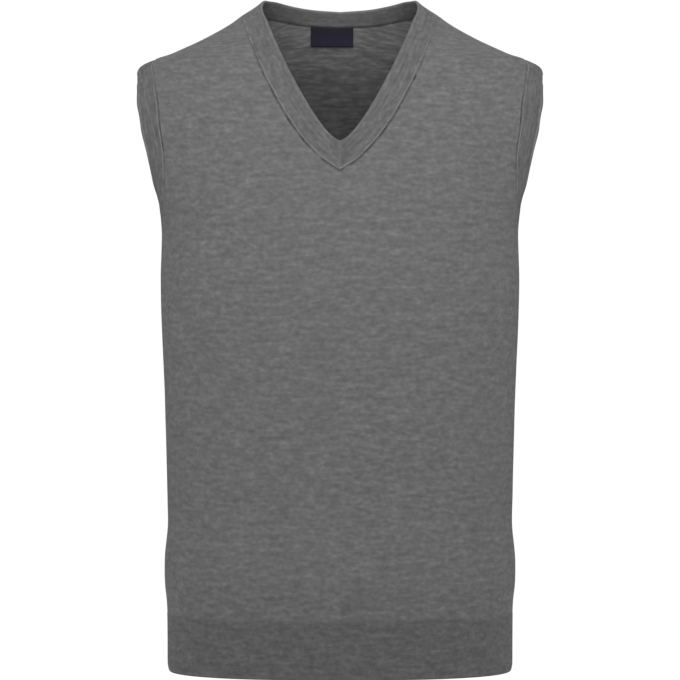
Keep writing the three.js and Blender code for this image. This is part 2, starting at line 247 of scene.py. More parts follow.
def form_point(turn, height):
    """Points of the form. The arrays' last axis is x, y and z."""
    turn, height = np.broadcast_arrays(turn, height)
    across, along = np.sin(np.radians(turn)), -np.cos(np.radians(turn))
    square = FORM.read("square", height)
    depth = np.where(along < 0, FORM.read("front", height), FORM.read("back", height))
    stretch = (np.abs(across) ** square + np.abs(along) ** square) ** (-1 / square)
    x = FORM.read("half_width", height) * across * stretch
    return np.stack([x, depth * along * stretch, height], axis=-1)


def unit(vectors):
    """The same directions, with a length of 1."""
    return vectors / np.linalg.norm(vectors, axis=-1, keepdims=True)


def form_normal(turn, height, nudge=0.2):
    """The direction straight out of the form, from the places a short way to each side."""
    around = form_point(turn + nudge, height) - form_point(turn - nudge, height)
    up = form_point(turn, height + nudge) - form_point(turn, height - nudge)
    return unit(np.cross(around, up))


def side_turn(share, square):
    """The turn from a face's centre line whose point is this share of the half width out."""
    share = np.minimum(share, 1)
    return np.degrees(np.arctan2(share, (1 - share**square) ** (1 / square)))


print("chest round the form in mm:",
      round(np.linalg.norm(np.diff(form_point(np.arange(0, 361.0), -256.0), axis=0), axis=1).sum()))

# %% [markdown]
# ## Where the seams run
#
# The neck seam starts at the V point, climbs over the shoulder and meets itself at centre back.
# Each armhole seam is an egg cut through the side of the form, with its fuller half below. Both are
# kept as turns and heights on the form, so that panels and bands share one line and can't drift
# apart.

# %% Describe the neck and armholes
NECK_POINT = 12
BACK_NECK = 17
NECK = Table(
    "row seam_x seam_z edge_x edge_y edge_z",
    [
        (0, 0, -155, 0, -104.5, -126.4),
        (1, 14, -146, 3.5, -104, -124.5),
        (2, 27, -134, 9.5, -102.5, -119.7),
        (3, 38, -121, 19.7, -98, -107),
        (4, 50, -103.5, 29.7, -90, -91),
        (5, 60.5, -85, 39.5, -80, -73.5),
        (6, 69, -68.5, 47.5, -71, -58),
        (7, 76.5, -52, 54.3, -61.5, -43.5),
        (8, 83, -36, 60.5, -51.5, -29.6),
        (9, 88.5, -22, 66, -41, -17),
        (10, 92.5, -10, 70.5, -29, -5.5),
        (11, 94.5, -3, 74, -15.5, 3),
        (NECK_POINT, 95, 0, 75.5, 0, 11),
        (13, 91.5, 2, 73, 15.5, 17),
        (14, 81, 2.8, 65.1, 31.5, 17.2),
        (15, 60, 0.5, 48.9, 45.5, 14.3),
        (16, 32, -3.5, 27, 53, 11.1),
        (BACK_NECK, 0, -4.8, 0, 55.5, 9.5),
    ],
)
ARMHOLE = {
    "front": {"reach": 58, "low_belly": 0.12, "edge_reach": 44},
    "back": {"reach": 52, "low_belly": 0.05, "edge_reach": 37},
}
ARMBAND_EDGE_TOP = -58
ARMBAND_EDGE_BOTTOM = -191
ARMBAND_FLARE = Table(
    "round front back",
    [
        (0, 1, 1),
        (30, 3.5, 3.5),
        (60, 12, 12),
        (90, 18, 15.6),
        (120, 18.8, 15.2),
        (150, 15.2, 14.5),
        (180, 17, 17),
    ],
)

# %% Work out the lines of the seams


def neck_line():
    """The neck seam as a table of turns and heights, close together away from the shoulder."""
    quarters = np.arange(0, BACK_NECK + 0.1, 0.25)
    over_shoulder = (quarters > NECK_POINT - 1) & (quarters < NECK_POINT + 2)
    row = quarters[~over_shoulder | (quarters % 1 == 0)]
    x, height = NECK.read("seam_x", row), NECK.read("seam_z", row)
    turn = side_turn(x / FORM.read("half_width", height), FORM.read("square", height))
    turn = np.where(row > NECK_POINT, CENTRE_TURN["back"] - turn, turn)
    turn[row == NECK_POINT] = SIDE_TURN
    return Table("row turn height", np.stack([row, turn, height], axis=1).tolist())


NECK_LINE = neck_line()


def egg(part, low_belly, bottom, top, reach):
    """How far an egg seen from the side reaches and how high it is, part way round (0 to 180)."""
    angle = np.radians(part)
    height = (bottom + top) / 2 - (top - bottom) / 2 * np.cos(angle)
    return reach * np.sin(angle) * (1 + low_belly * np.cos(angle)), height


def armhole_line(face, part):
    """The turn and height of the armhole seam on one face, from the underarm to the tip."""
    shape = ARMHOLE[face]
    reach, height = egg(part, shape["low_belly"], UNDERARM, SHOULDER_TIP, shape["reach"])
    square = FORM.read("square", height)
    along = reach / FORM.read(face, height)
    from_centre = np.degrees(np.arctan2((1 - along**square) ** (1 / square), along))
    return np.abs(CENTRE_TURN[face] - from_centre), height


tenths = np.arange(0, BACK_NECK + 0.01, 0.1)
whole_neck = form_point(NECK_LINE.read("turn", tenths), NECK_LINE.read("height", tenths))
print("neck seam in mm:", round(2 * np.linalg.norm(np.diff(whole_neck, axis=0), axis=1).sum()))

# %% [markdown]
# ## Soft folds
#
# Fine merino that is filled out hardly folds, yet a surface with none looks like plastic. The folds
# here are the ones that wearing leaves: a slight lift below the V, drag lines under the arms, a
# hollow along each side, and the cloth that bags over the rib, more of it behind than in front. A
# cloth simulation would place them by chance. Here each is listed as a bowed line on the cloth, with
# a soft cross-section that dies away towards both ends.

# %% Describe the folds
# start and end are places across and up, in mm; bow lifts the middle; a negative rise is a hollow
FOLDS = {
    "front": [
        dict(start=(-32, -184), end=(35, -182), bow=-7, width=16, rise=1.0),
        dict(start=(148, -222), end=(88, -300), bow=12, width=11, rise=-0.55),
        dict(start=(-150, -219), end=(-94, -288), bow=10, width=12, rise=-0.6),
        dict(start=(150, -246), end=(118, -330), bow=6, width=13, rise=0.5),
        dict(start=(-152, -240), end=(-112, -338), bow=8, width=12, rise=0.45),
        dict(start=(158, -282), end=(151, -440), bow=0, width=17, rise=-0.9),
        dict(start=(-157, -270), end=(-153, -446), bow=0, width=18, rise=-0.85),
        dict(start=(205, -486), end=(112, -470), bow=5, width=8, rise=-0.8),
        dict(start=(-204, -490), end=(-96, -468), bow=7, width=8, rise=-0.75),
        dict(start=(206, -508), end=(128, -516), bow=-4, width=9, rise=0.55),
        dict(start=(-206, -512), end=(-140, -505), bow=-5, width=10, rise=0.6),
        dict(start=(224, -550), end=(120, -556), bow=2, width=10, rise=0.8),
        dict(start=(-222, -552), end=(-110, -557), bow=3, width=10, rise=0.75),
        dict(start=(-80, -556), end=(66, -559), bow=3, width=12, rise=0.4),
        dict(start=(118, -92), end=(152, -176), bow=-4, width=12, rise=-0.5),
        dict(start=(-120, -88), end=(-150, -182), bow=-3, width=11, rise=-0.45),
    ],
    "back": [
        dict(start=(-46, -40), end=(52, -42), bow=-9, width=11, rise=-0.6),
        dict(start=(96, -70), end=(66, -226), bow=0, width=34, rise=1.5),
        dict(start=(-94, -76), end=(-70, -220), bow=0, width=32, rise=1.4),
        dict(start=(2, -96), end=(-2, -330), bow=0, width=22, rise=-1.6),
        dict(start=(152, -214), end=(84, -290), bow=14, width=12, rise=-1.0),
        dict(start=(-154, -210), end=(-90, -276), bow=12, width=11, rise=-0.9),
        dict(start=(158, -262), end=(102, -372), bow=8, width=14, rise=0.9),
        dict(start=(-160, -252), end=(-98, -352), bow=9, width=13, rise=0.8),
        dict(start=(-10, -392), end=(6, -508), bow=0, width=15, rise=-1.2),
        dict(start=(48, -410), end=(38, -520), bow=0, width=13, rise=0.9),
        dict(start=(-56, -400), end=(-44, -512), bow=0, width=12, rise=0.8),
        dict(start=(200, -470), end=(92, -444), bow=8, width=10, rise=-1.2),
        dict(start=(-200, -476), end=(-84, -452), bow=7, width=10, rise=-1.1),
        dict(start=(206, -506), end=(86, -498), bow=-9, width=12, rise=1.2),
        dict(start=(-206, -502), end=(-96, -494), bow=-8, width=11, rise=1.1),
        dict(start=(-62, -528), end=(20, -534), bow=-6, width=10, rise=-0.7),
        dict(start=(204, -556), end=(96, -558), bow=3, width=10, rise=1.3),
        dict(start=(-204, -555), end=(-88, -559), bow=3, width=10, rise=1.2),
        dict(start=(-84, -560), end=(70, -558), bow=4, width=11, rise=0.9),
    ],
}
FOLD_END = 0.04
FOLD_TAPER = 0.7
# the rib and the cloth just above it are drawn in a little, all round
DRAWN_IN = Table(
    "height rise",
    [(HEM_EDGE, -0.5), (HEM_SEAM, -1.0), (-566, -1.1), (-551, -0.6), (-536, 0), (999, 0)],
)
COCKLE_SIZE = 26
COCKLE_RISE = 0.16

# %% Lift the cloth along the folds


def fold_rise(face, across, height):
    """How far the soft folds lift the cloth, for places given across the face and up it."""
    place = np.stack([across, height], axis=-1)
    rise = np.zeros(across.shape)
    for fold in FOLDS[face]:
        start, run = np.array(fold["start"], float), np.subtract(fold["end"], fold["start"])
        share = np.clip(((place - start) @ run) / (run @ run), 0, 1)
        nearest = start + share[..., None] * run
        nearest[..., 1] += fold["bow"] * 4 * share * (1 - share)
        distance = np.linalg.norm(place - nearest, axis=-1)
        fade = np.sin(math.pi * np.clip(share, FOLD_END, 1 - FOLD_END)) ** FOLD_TAPER
        rise += fold["rise"] * fade * np.exp(-((distance / fold["width"]) ** 2))
    return rise


def cockle(points, size=COCKLE_SIZE, rise=COCKLE_RISE):
    """The slight unevenness of any knit that has been washed, by place."""
    flat = points.reshape(-1, 3) / size
    return rise * np.array([noise.noise(Vector(p)) for p in flat]).reshape(points.shape[:-1])


print("folds:", {face: len(folds) for face, folds in FOLDS.items()})

# %% [markdown]
# ## How strongly the seams show
#
# A linked seam is never even: its groove and the cloth beside it wander a little. It shows most down
# the V, at the back of the neck and halfway up the armholes, and fades over the shoulders and under
# the arms. Two short tables say how much of it shows at each height, and every piece beside a seam
# reads the same ones.

# %% Describe how the seams show
SEAM_BROKEN = 1.3
SEAM_HEIGHTS = (-200, 30)
NECK_SEAM_FADE = Table("height share", [(-200, 1), (-80, 1), (-20, 0.25), (40, 0.25)])
ARMHOLE_SEAM_FADE = Table(
    "height share",
    [(-260, 0.2), (-185, 0.25), (-152, 0.6), (-128, 1), (-100, 0.9), (-68, 0.5), (-45, 0.4), (0, 0.4)],
)
NECK_REACH = 110
BACK_SEAM_SHARE = 0.85
BACK_SEAM_FROM = 20
BACK_SEAM_REACH = 25


def broken(points, amount, size=5.5):
    """A share near 1 that wanders up and down by this amount along a seam."""
    return 1 + cockle(points, size, amount)


def seam_fade(points):
    """How strongly a linked seam shows: less on the shoulders and underarms."""
    height = np.clip(points[..., 2], *SEAM_HEIGHTS)
    on_neck = np.abs(points[..., 0]) < NECK_REACH
    at_back = BACK_SEAM_SHARE * np.clip((points[..., 1] - BACK_SEAM_FROM) / BACK_SEAM_REACH, 0, 1)
    on_neck_share = np.maximum(NECK_SEAM_FADE.read("share", height), at_back)
    return np.where(on_neck, on_neck_share, ARMHOLE_SEAM_FADE.read("share", height))


def linked_share(points):
    """The same, broken up along the seam."""
    return broken(points, SEAM_BROKEN) * seam_fade(points)


at_v, at_shoulder = seam_fade(np.array([[0.0, -104.0, -155.0], [95.0, 0.0, 0.0]]))
print(f"share of the neck seam that shows: {at_v:.2f} at the V, {at_shoulder:.2f} on the shoulder")

# %% [markdown]
# ## From a grid to a piece of cloth
#
# Each piece starts as one flat grid, as the machine knits it, and is then laid on the form. The
# grid's faces come from Blender, and only its points are placed. Its UV map is the cloth's own
# measure in metres, across the stitches and up the courses, so a knit material fits any piece at
# the right scale. Rows or columns that end where they began are welded, and open ends are capped.

# %% Make pieces from grids


def lay_grid(name, points, across, up, materials, masks, wall_share=None):
    """A mesh object of a grid of points [row, column], in millimetres, with its knit UV map.

    Masks are values at each point, kept under their names for the materials. Where a wall's share
    of its full thickness is given, the grid is cut down its middle, and welded again where the
    neck doesn't part it.
    """
    rows, columns = points.shape[:2]
    made = bmesh.new()
    bmesh.ops.create_grid(made, x_segments=columns - 1, y_segments=rows - 1, size=0.5)
    knit = made.loops.layers.uv.new("knit")
    for face in made.faces:
        face.smooth = True
        for loop in face.loops:
            place = divmod(loop.vert.index, columns)
            loop[knit].uv = (across[place] * MM, up[place] * MM)
    for mask in masks:
        made.verts.layers.float.new(mask)
    kept = [(made.verts.layers.float[mask], values) for mask, values in masks.items()]
    for vert in made.verts:
        place = divmod(vert.index, columns)
        vert.co = points[place] * MM
        for layer, values in kept:
            vert[layer] = values[place]
    mesh = bpy.data.meshes.new(name)
    piece = put_in_scene(name, mesh)
    for material in materials:
        mesh.materials.append(material)
    if wall_share is not None:
        group = piece.vertex_groups.new(name="wall").index
        share_of = made.verts.layers.deform.verify()
        for vert in made.verts:
            vert[share_of][group] = wall_share[divmod(vert.index, columns)]
        middle = (columns // 2 - 1, columns // 2)
        between_halves = [face for face in made.faces
                          if {vert.index % columns for vert in face.verts} == set(middle)]
        bmesh.ops.delete(made, geom=between_halves, context="FACES_ONLY")
        bmesh.ops.remove_doubles(made, verts=made.verts, dist=0.001 * MM)
        for edge in made.edges:
            edge.smooth = not edge.is_boundary
    made.to_mesh(mesh)
    made.free()
    return piece


# %% Close tubes
SHARP_ANGLE = math.radians(50)


def close_up(piece, weld=0.004):
    """Welds the seams of a tube of cloth, caps its ends, and turns its faces outwards."""
    made = bmesh.new()
    made.from_mesh(piece.data)
    bmesh.ops.remove_doubles(made, verts=made.verts, dist=weld * MM)
    rims = [edge for edge in made.edges if edge.is_boundary]
    if rims:
        caps = bmesh.ops.holes_fill(made, edges=rims)["faces"]
        bmesh.ops.triangulate(made, faces=caps)
    bmesh.ops.recalc_face_normals(made, faces=made.faces)
    for edge in made.edges:
        edge.smooth = edge.calc_face_angle(0) < SHARP_ANGLE
    made.to_mesh(piece.data)
    made.free()


# %% Measure along the cloth


def path_length(points):
    """How far along a path each of its points is. The path runs along the last axis but one."""
    steps = np.linalg.norm(np.diff(points, axis=-2), axis=-1)
    return np.concatenate([np.zeros(steps.shape[:-1] + (1,)), np.cumsum(steps, axis=-1)], axis=-1)


def across_cloth(face, turn, height, steps=24):
    """How far each place is from its face's centre line, along the cloth at its own height."""
    share = np.linspace(0, 1, steps + 1)
    centre = CENTRE_TURN[face]
    path = form_point(centre + (turn - centre)[..., None] * share, height[..., None])
    return path_length(path)[..., -1] * np.sign(turn - centre)


def up_cloth(turn, height, steps=40):
    """How far each place is up the cloth from the hem seam."""
    share = np.linspace(0, 1, steps + 1)
    path = form_point(turn[..., None], HEM_SEAM + (height - HEM_SEAM)[..., None] * share)
    return path_length(path)[..., -1]


def distance_to(line, points):
    """How far each of the points is from a line, itself given by close points."""
    tree = KDTree(len(line))
    for index, place in enumerate(line):
        tree.insert(place, index)
    tree.balance()
    flat = points.reshape(-1, 3)
    return np.array([tree.find(p)[2] for p in flat]).reshape(points.shape[:-1])


side_height = up_cloth(np.array([float(SIDE_TURN)]), np.array([float(UNDERARM)]))[0]
print(f"cloth from the rib to the underarm in mm: {side_height:.0f}")

# %% [markdown]
# ## Yarn and stitches
#
# Heather yarn is spun from wool that was dyed in several greys, so its shade drifts along the
# thread. In knitted cloth that gives short streaks along the courses. Here they are three sizes of
# noise, read at each course's own number, so a streak covers whole courses. The stitches themselves
# are too small to model one by one, at 1.7 by 1.2 mm: their legs are a height that a Bump node
# reads. Four node groups hold the two faces of the knit, the yarn's colour and its fuzz, and each
# material places those that it needs, with its own values.

# %% Helpers for wiring nodes


def add(tree, kind, *inputs, out=0, **settings):
    """Adds a node, feeds its inputs in order from sockets or values, and gives one output."""
    made = tree.nodes.new("ShaderNode" + kind)
    for name, value in settings.items():
        setattr(made, name, value)
    for socket, value in zip(made.inputs, inputs):
        if isinstance(value, bpy.types.NodeSocket):
            tree.links.new(value, socket)
        elif value is not None:
            socket.default_value = value
    return made.outputs[out]


def calc(tree, operation, *inputs):
    """Adds a Math node, and gives its result."""
    return add(tree, "Math", *inputs, operation=operation)


def blend(tree, factor, first, second):
    """Mixes two colours."""
    mix = tree.nodes.new("ShaderNodeMix")
    mix.data_type = "RGBA"
    mix.clamp_factor = False
    for name, value in (("Factor_Float", factor), ("A_Color", first), ("B_Color", second)):
        socket = next(s for s in mix.inputs if s.identifier == name)
        if isinstance(value, bpy.types.NodeSocket):
            tree.links.new(value, socket)
        else:
            socket.default_value = value
    return next(s for s in mix.outputs if s.identifier == "Result_Color")


def start_group(name, inputs, outputs):
    """An empty node group with named sockets, its inputs by name, and its output node."""
    tree = bpy.data.node_groups.new(name, "ShaderNodeTree")
    for title, kind in inputs.items():
        tree.interface.new_socket(title, in_out="INPUT", socket_type="NodeSocket" + kind)
    for title, kind in outputs.items():
        tree.interface.new_socket(title, in_out="OUTPUT", socket_type="NodeSocket" + kind)
    return tree, tree.nodes.new("NodeGroupInput").outputs, tree.nodes.new("NodeGroupOutput").inputs


def use_group(tree, group, **values):
    """Places a node group, feeds its inputs by name, and gives its outputs."""
    made = tree.nodes.new("ShaderNodeGroup")
    made.node_tree = group
    for name, value in values.items():
        if isinstance(value, bpy.types.NodeSocket):
            tree.links.new(value, made.inputs[name])
        else:
            made.inputs[name].default_value = value
    return made.outputs


# %% Build the knit face
LEG_SWELL = 0.6
LEG_ROUND = 0.5


def start_stitch_group(name):
    """An empty group for a stitch, with the place as a count of wales across and of courses up."""
    tree, given, result = start_group(
        name,
        {"Place": "Vector", "Wale": "Float", "Course": "Float"},
        {"Height": "Float", "Stitch": "Float"},
    )
    place = tree.nodes.new("ShaderNodeSeparateXYZ")
    tree.links.new(given["Place"], place.inputs[0])
    wales = calc(tree, "DIVIDE", place.outputs["X"], given["Wale"])
    courses = calc(tree, "DIVIDE", place.outputs["Y"], given["Course"])
    return tree, result, wales, courses


def hump(tree, count):
    """A half wave for each stitch of a count, from 0 up to 1 and down again."""
    return calc(tree, "SINE", calc(tree, "MULTIPLY", calc(tree, "FRACT", count), math.pi))


def finish_stitch_group(tree, result, wales, courses, height):
    """Puts out the height, and a number of its own for each stitch."""
    cell = add(tree, "CombineXYZ", calc(tree, "FLOOR", wales), calc(tree, "FLOOR", courses))
    stitch = add(tree, "TexWhiteNoise", cell, noise_dimensions="2D")
    tree.links.new(height, result["Height"])
    tree.links.new(stitch, result["Stitch"])
    return tree


def jersey_group():
    """The knit face: in each wale, two legs lean together into a V."""
    tree, result, wales, courses = start_stitch_group("jersey_stitch")
    from_middle = calc(tree, "ABSOLUTE", calc(tree, "SUBTRACT", calc(tree, "FRACT", wales), 0.5))
    leaning = calc(tree, "MULTIPLY_ADD", from_middle, -2.0, courses)
    along_leg = calc(tree, "POWER", hump(tree, leaning), LEG_SWELL)
    leg = calc(tree, "SINE", calc(tree, "MULTIPLY", from_middle, 2 * math.pi))
    height = calc(tree, "MULTIPLY", along_leg, calc(tree, "POWER", leg, LEG_ROUND))
    return finish_stitch_group(tree, result, wales, leaning, height)


JERSEY = jersey_group()
print("node group:", JERSEY.name)

# %% Build the reverse
ARCH_RISE = 0.22
ARCH_SWELL = 0.8


def purl_group():
    """The reverse of jersey: level rows of small arches."""
    tree, result, wales, courses = start_stitch_group("purl_arches")
    wave = calc(tree, "COSINE", calc(tree, "MULTIPLY", wales, 2 * math.pi))
    raised = calc(tree, "MULTIPLY_ADD", wave, ARCH_RISE, courses)
    height = calc(tree, "POWER", hump(tree, raised), ARCH_SWELL)
    return finish_stitch_group(tree, result, wales, raised, height)


PURL = purl_group()
print("node group:", PURL.name)

# %% Build the yarn's colour
# how long each drift of shade runs in millimetres, how many courses high it is, its detail and weight
YARN_DRIFTS = [(4.8, 2.8, 1.0, 0.92), (11.5, 3.5, 1.0, 1.08), (38.0, 6.0, 2.0, 0.68)]
LIGHT_STREAKS = 0.45
STITCH_SHADES = 0.12
WEAR_AND_PAINTED_LIGHT_SHARE = 0.9


def heather_group():
    """The colour of a heathered yarn, which drifts along each course on its own."""
    tree, given, result = start_group(
        "heather_yarn",
        {"Place": "Vector", "Course": "Float", "Stitch": "Float", "Contrast": "Float",
         "Worn": "Float", "Dark": "Color", "Light": "Color"},
        {"Color": "Color"},
    )
    place = tree.nodes.new("ShaderNodeSeparateXYZ")
    tree.links.new(given["Place"], place.inputs[0])
    along, up = place.outputs["X"], place.outputs["Y"]
    course = calc(tree, "FLOOR", calc(tree, "DIVIDE", up, given["Course"]))

    def drift(length, rows, detail):
        """Noise whose patches are so many millimetres long and so many courses high."""
        across = calc(tree, "DIVIDE", along, length * MM)
        row = calc(tree, "DIVIDE", course, rows)
        where = add(tree, "CombineXYZ", across, row)
        return add(tree, "TexNoise", where, None, 1.0, detail, noise_dimensions="2D")

    total = calc(tree, "MULTIPLY_ADD", given["Stitch"], STITCH_SHADES, -STITCH_SHADES / 2)
    for length, rows, detail, weight in YARN_DRIFTS:
        offset = calc(tree, "SUBTRACT", drift(length, rows, detail), 0.5)
        total = calc(tree, "MULTIPLY_ADD", offset, weight, total)
    streak = calc(tree, "MULTIPLY", total, given["Contrast"])
    lifted = calc(tree, "MULTIPLY_ADD", streak, LIGHT_STREAKS, 1)
    factor = calc(tree, "MULTIPLY_ADD", streak, lifted, 0.5)
    # this mask mixes in light or dark wool: some wear on edges, and mostly painted shade in grooves and
    # painted highlights on raised lines
    factor = calc(tree, "MULTIPLY_ADD", given["Worn"], WEAR_AND_PAINTED_LIGHT_SHARE, factor)
    color = blend(tree, factor, given["Dark"], given["Light"])
    tree.links.new(color, result["Color"])
    return tree


HEATHER = heather_group()
print("node group:", HEATHER.name)

# %% Build the yarn's fuzz
FUZZ_DETAIL = 3.0
FUZZ_ROUGHNESS = 0.6


def fuzz_group():
    """Loose fibres on the yarn: a fine, uneven height."""
    tree, given, result = start_group(
        "yarn_fuzz", {"Place": "Vector", "Size": "Float"}, {"Height": "Float"}
    )
    scaled = add(tree, "VectorMath", given["Place"], None, None, given["Size"], operation="SCALE")
    fuzz = add(tree, "TexNoise", scaled, None, 1.0, FUZZ_DETAIL, FUZZ_ROUGHNESS)
    tree.links.new(fuzz, result["Height"])
    return tree


FUZZ = fuzz_group()
print("node group:", FUZZ.name)

# %% [markdown]
# ## The knit materials
#
# One recipe makes them all: stitches and fuzz give the height, and heather gives the colour. The
# face, the reverse, the rib and the bands differ in their stitch, in its size and in how dark their
# wool is made; on the reverse and the rib that darkening is painted shade. Each piece carries masks
# that make its yarn paler or darker: some wear along edges, painted shade in grooves, painted
# highlights on raised lines and rolled edges, and painted light at the sides and inside the back.
# Wool has a bloom of fine fibres that catches light at the edges of a form, which is what Sheen is
# for.

# %% Describe the wool and its stitches
DARK_WOOL = (0.095, 0.095, 0.095)
LIGHT_WOOL = (0.191, 0.191, 0.191)
WALE = 1.7
COURSE = 1.2
RIB_PITCH = 3.4
BAND_WALE = 1.5
BAND_COURSE = 1.1
STITCH_DEPTH = 0.35
FUZZ_PER_METRE = 2600
FUZZ_SHARE = 0.35
WOOL_ROUGHNESS = 0.95
KNIT_SPECULAR = 0.15
BLOOM_ROUGHNESS = 0.5

# %% Write the recipe for a knit


def shaded(colour, shade):
    """A colour made darker or lighter by this factor."""
    return [shade * part for part in colour] + [1]


def raise_surface(tree, shader, height, depth):
    """Feeds a height to the shader, as a bump of this depth in millimetres."""
    bump = tree.nodes.new("ShaderNodeBump")
    bump.inputs["Distance"].default_value = depth * MM
    tree.links.new(height, bump.inputs["Height"])
    tree.links.new(bump.outputs["Normal"], shader.inputs["Normal"])


def knit_material(name, stitch_group, wale, course, contrast, shade=1.0, bloom=0.03, run=1.0,
                  reverse=False):
    """A heathered knit with this stitch, and its size in millimetres.

    Contrast is that of its yarn. Shade darkens the wool: on the reverse it is painted shade, and on
    the rib painted shade of its grooves. Bloom is how much its fibres catch at the edges, and run is
    how long its streaks are against those of the knit face. On the face, one mask mixes in more of
    the light wool or of the dark, for some wear on edges and for painted shade and highlights, and
    another scales the colour with painted light at the sides. On the reverse, only a mask of painted
    light and shade scales the colour.
    """
    material, tree, shader = start_material(name, WOOL_ROUGHNESS, KNIT_SPECULAR)
    place = add(tree, "UVMap", uv_map="knit")
    stitch = use_group(tree, stitch_group, Place=place, Wale=wale * MM, Course=course * MM)
    fuzz = use_group(tree, FUZZ, Place=place, Size=FUZZ_PER_METRE)
    worn = 0.0 if reverse else add(tree, "Attribute", attribute_name="worn", out="Fac")
    drawn_out = add(tree, "VectorMath", place, (1 / run, 1, 1), operation="MULTIPLY")
    heather = use_group(tree, HEATHER, Place=drawn_out, Course=course * MM, Stitch=stitch["Stitch"],
                        Contrast=contrast, Worn=worn, Dark=shaded(DARK_WOOL, shade),
                        Light=shaded(LIGHT_WOOL, shade))
    height = calc(tree, "MULTIPLY_ADD", fuzz["Height"], FUZZ_SHARE, stitch["Height"])
    raise_surface(tree, shader, height, STITCH_DEPTH)
    # the reverse is scaled by painted light and shade inside the back, the face by painted light at the
    # sides
    scaled_by = add(tree, "Attribute", attribute_name="painted_inner_shading" if reverse else "painted_side_light", out="Fac")
    tone = calc(tree, "ADD", scaled_by, 1)
    toned = add(tree, "VectorMath", heather["Color"], None, None, tone, operation="SCALE")
    tree.links.new(toned, shader.inputs["Base Color"])
    shader.inputs["Sheen Weight"].default_value = bloom
    shader.inputs["Sheen Roughness"].default_value = BLOOM_ROUGHNESS
    return material


# %% Make the knit materials
# the darker shade of the reverse and of the rib is painted shade
body_knit = knit_material("body_knit", JERSEY, WALE, COURSE, contrast=0.73)
body_reverse = knit_material("body_reverse", PURL, WALE, COURSE, contrast=1.2, shade=0.95, run=1.9,
                             reverse=True)
rib_knit = knit_material("rib_knit", JERSEY, RIB_PITCH / 2, COURSE, contrast=0.78, shade=0.8, bloom=0.05)
band_knit = knit_material("band_knit", JERSEY, BAND_WALE, BAND_COURSE, contrast=0.74, shade=0.9)
print("knits:", [knit.name for knit in (body_knit, body_reverse, rib_knit, band_knit)])

# %% Make the linking yarn
LINKING_WOOL = (0.22, 0.22, 0.22)
YARN_SHADES = (0.75, 1.25)
YARN_NOISE_SCALE = 260.0
YARN_NOISE_DETAIL = 2.0
YARN_DEPTH = 0.15
YARN_SPECULAR = 0.25


def yarn_material(name, colour):
    """A bare yarn, with its fuzz and a slight unevenness of shade."""
    material, tree, shader = start_material(name, WOOL_ROUGHNESS, YARN_SPECULAR)
    place = add(tree, "TexCoord", out="Object")
    fuzz = use_group(tree, FUZZ, Place=place, Size=FUZZ_PER_METRE)
    drift = add(tree, "TexNoise", place, None, YARN_NOISE_SCALE, YARN_NOISE_DETAIL)
    dark, light = (shaded(colour, shade) for shade in YARN_SHADES)
    tree.links.new(blend(tree, drift, dark, light), shader.inputs["Base Color"])
    raise_surface(tree, shader, fuzz["Height"], YARN_DEPTH)
    return material


linking_yarn = yarn_material("linking_yarn", LINKING_WOOL)
print("yarn:", linking_yarn.name)

# %% [markdown]
# ## Front and back panels
#
# A panel is one knitted piece from the rib to the shoulder, with the armholes and half the neck
# shaped out of it. Its grid runs level up to the underarm. Above, each row reaches from the centre
# line or the neck seam to the armhole seam, so the edge of the grid is the edge of the cloth. The
# grid's columns crowd together next to a seam, where the linking pulls the cloth down into a groove
# with a small swelling beside it. The wall is a Solidify modifier that thins out towards the edges,
# which makes the same groove inside, and its second material is the reverse of the knit.
#
# Three masks tone it. Painted shade darkens the yarn in the grooves and along the hem seam, and a
# painted highlight makes it paler on the swellings. A painted pool of light makes the sides above
# the rib paler. On the reverse, painted shade darkens the grooves, and inside the back painted light
# makes the cloth paler near the neck and painted shade makes it darker lower down, more so towards
# the sides.

# %% Lay out a panel's grid
SEAM_CLEAR = 0.02
HALF_COLUMNS = 78
ROWS_BELOW = 112
ARMHOLE_ROWS = 17
ROWS_ABOVE = 6 * ARMHOLE_ROWS
NECK_BLEND = 2


def between(start, end, share):
    """The value this share of the way from start to end."""
    return start + (end - start) * share


def panel_chart(face):
    """The turn and height of each point of a panel's grid, row by row up from the rib."""
    level = np.concatenate([
        np.linspace(-1, 0, ROWS_BELOW, endpoint=False),
        np.linspace(0, ARMHOLE_ROWS, ROWS_ABOVE + 1),
    ])
    centre_neck = 0 if face == "front" else BACK_NECK
    neck_starts = ARMHOLE_ROWS - abs(centre_neck - NECK_POINT)
    neck_row = np.abs(centre_neck - np.maximum(level - neck_starts, 0))
    below = between(HEM_SEAM + SEAM_CLEAR, UNDERARM, level + 1)
    to_neck = between(UNDERARM, NECK_LINE.read("height", centre_neck), level / neck_starts)
    on_neck = level >= neck_starts
    above = np.where(on_neck, NECK_LINE.read("height", neck_row), to_neck)
    inner_height = np.where(level <= 0, below, above)
    inner_turn = np.where(on_neck, NECK_LINE.read("turn", neck_row), CENTRE_TURN[face])
    part = np.clip(level, 0, ARMHOLE_ROWS) / ARMHOLE_ROWS * 180
    hole_turn, hole_height = armhole_line(face, part)
    outer_height = np.where(level <= 0, below, hole_height)
    outer_turn = np.where(level <= 0, SIDE_TURN, hole_turn)

    half = np.linspace(0, 1, HALF_COLUMNS + 1)
    crowd_outer = np.sin(half * math.pi / 2)
    crowd_both = (1 - np.cos(half * math.pi)) / 2
    near_neck = np.clip((level - neck_starts + NECK_BLEND) / NECK_BLEND, 0, 1)[:, None]
    share = between(crowd_outer, crowd_both, near_neck)
    centre = CENTRE_TURN[face]
    from_centre = np.abs(between(inner_turn[:, None], outer_turn[:, None], share) - centre)
    turn = centre + np.concatenate([-from_centre[:, ::-1], from_centre], axis=1)
    height = between(inner_height[:, None], outer_height[:, None], share)
    return turn, np.concatenate([height[:, ::-1], height], axis=1)


print("rows and columns of a panel:", panel_chart("front")[0].shape)

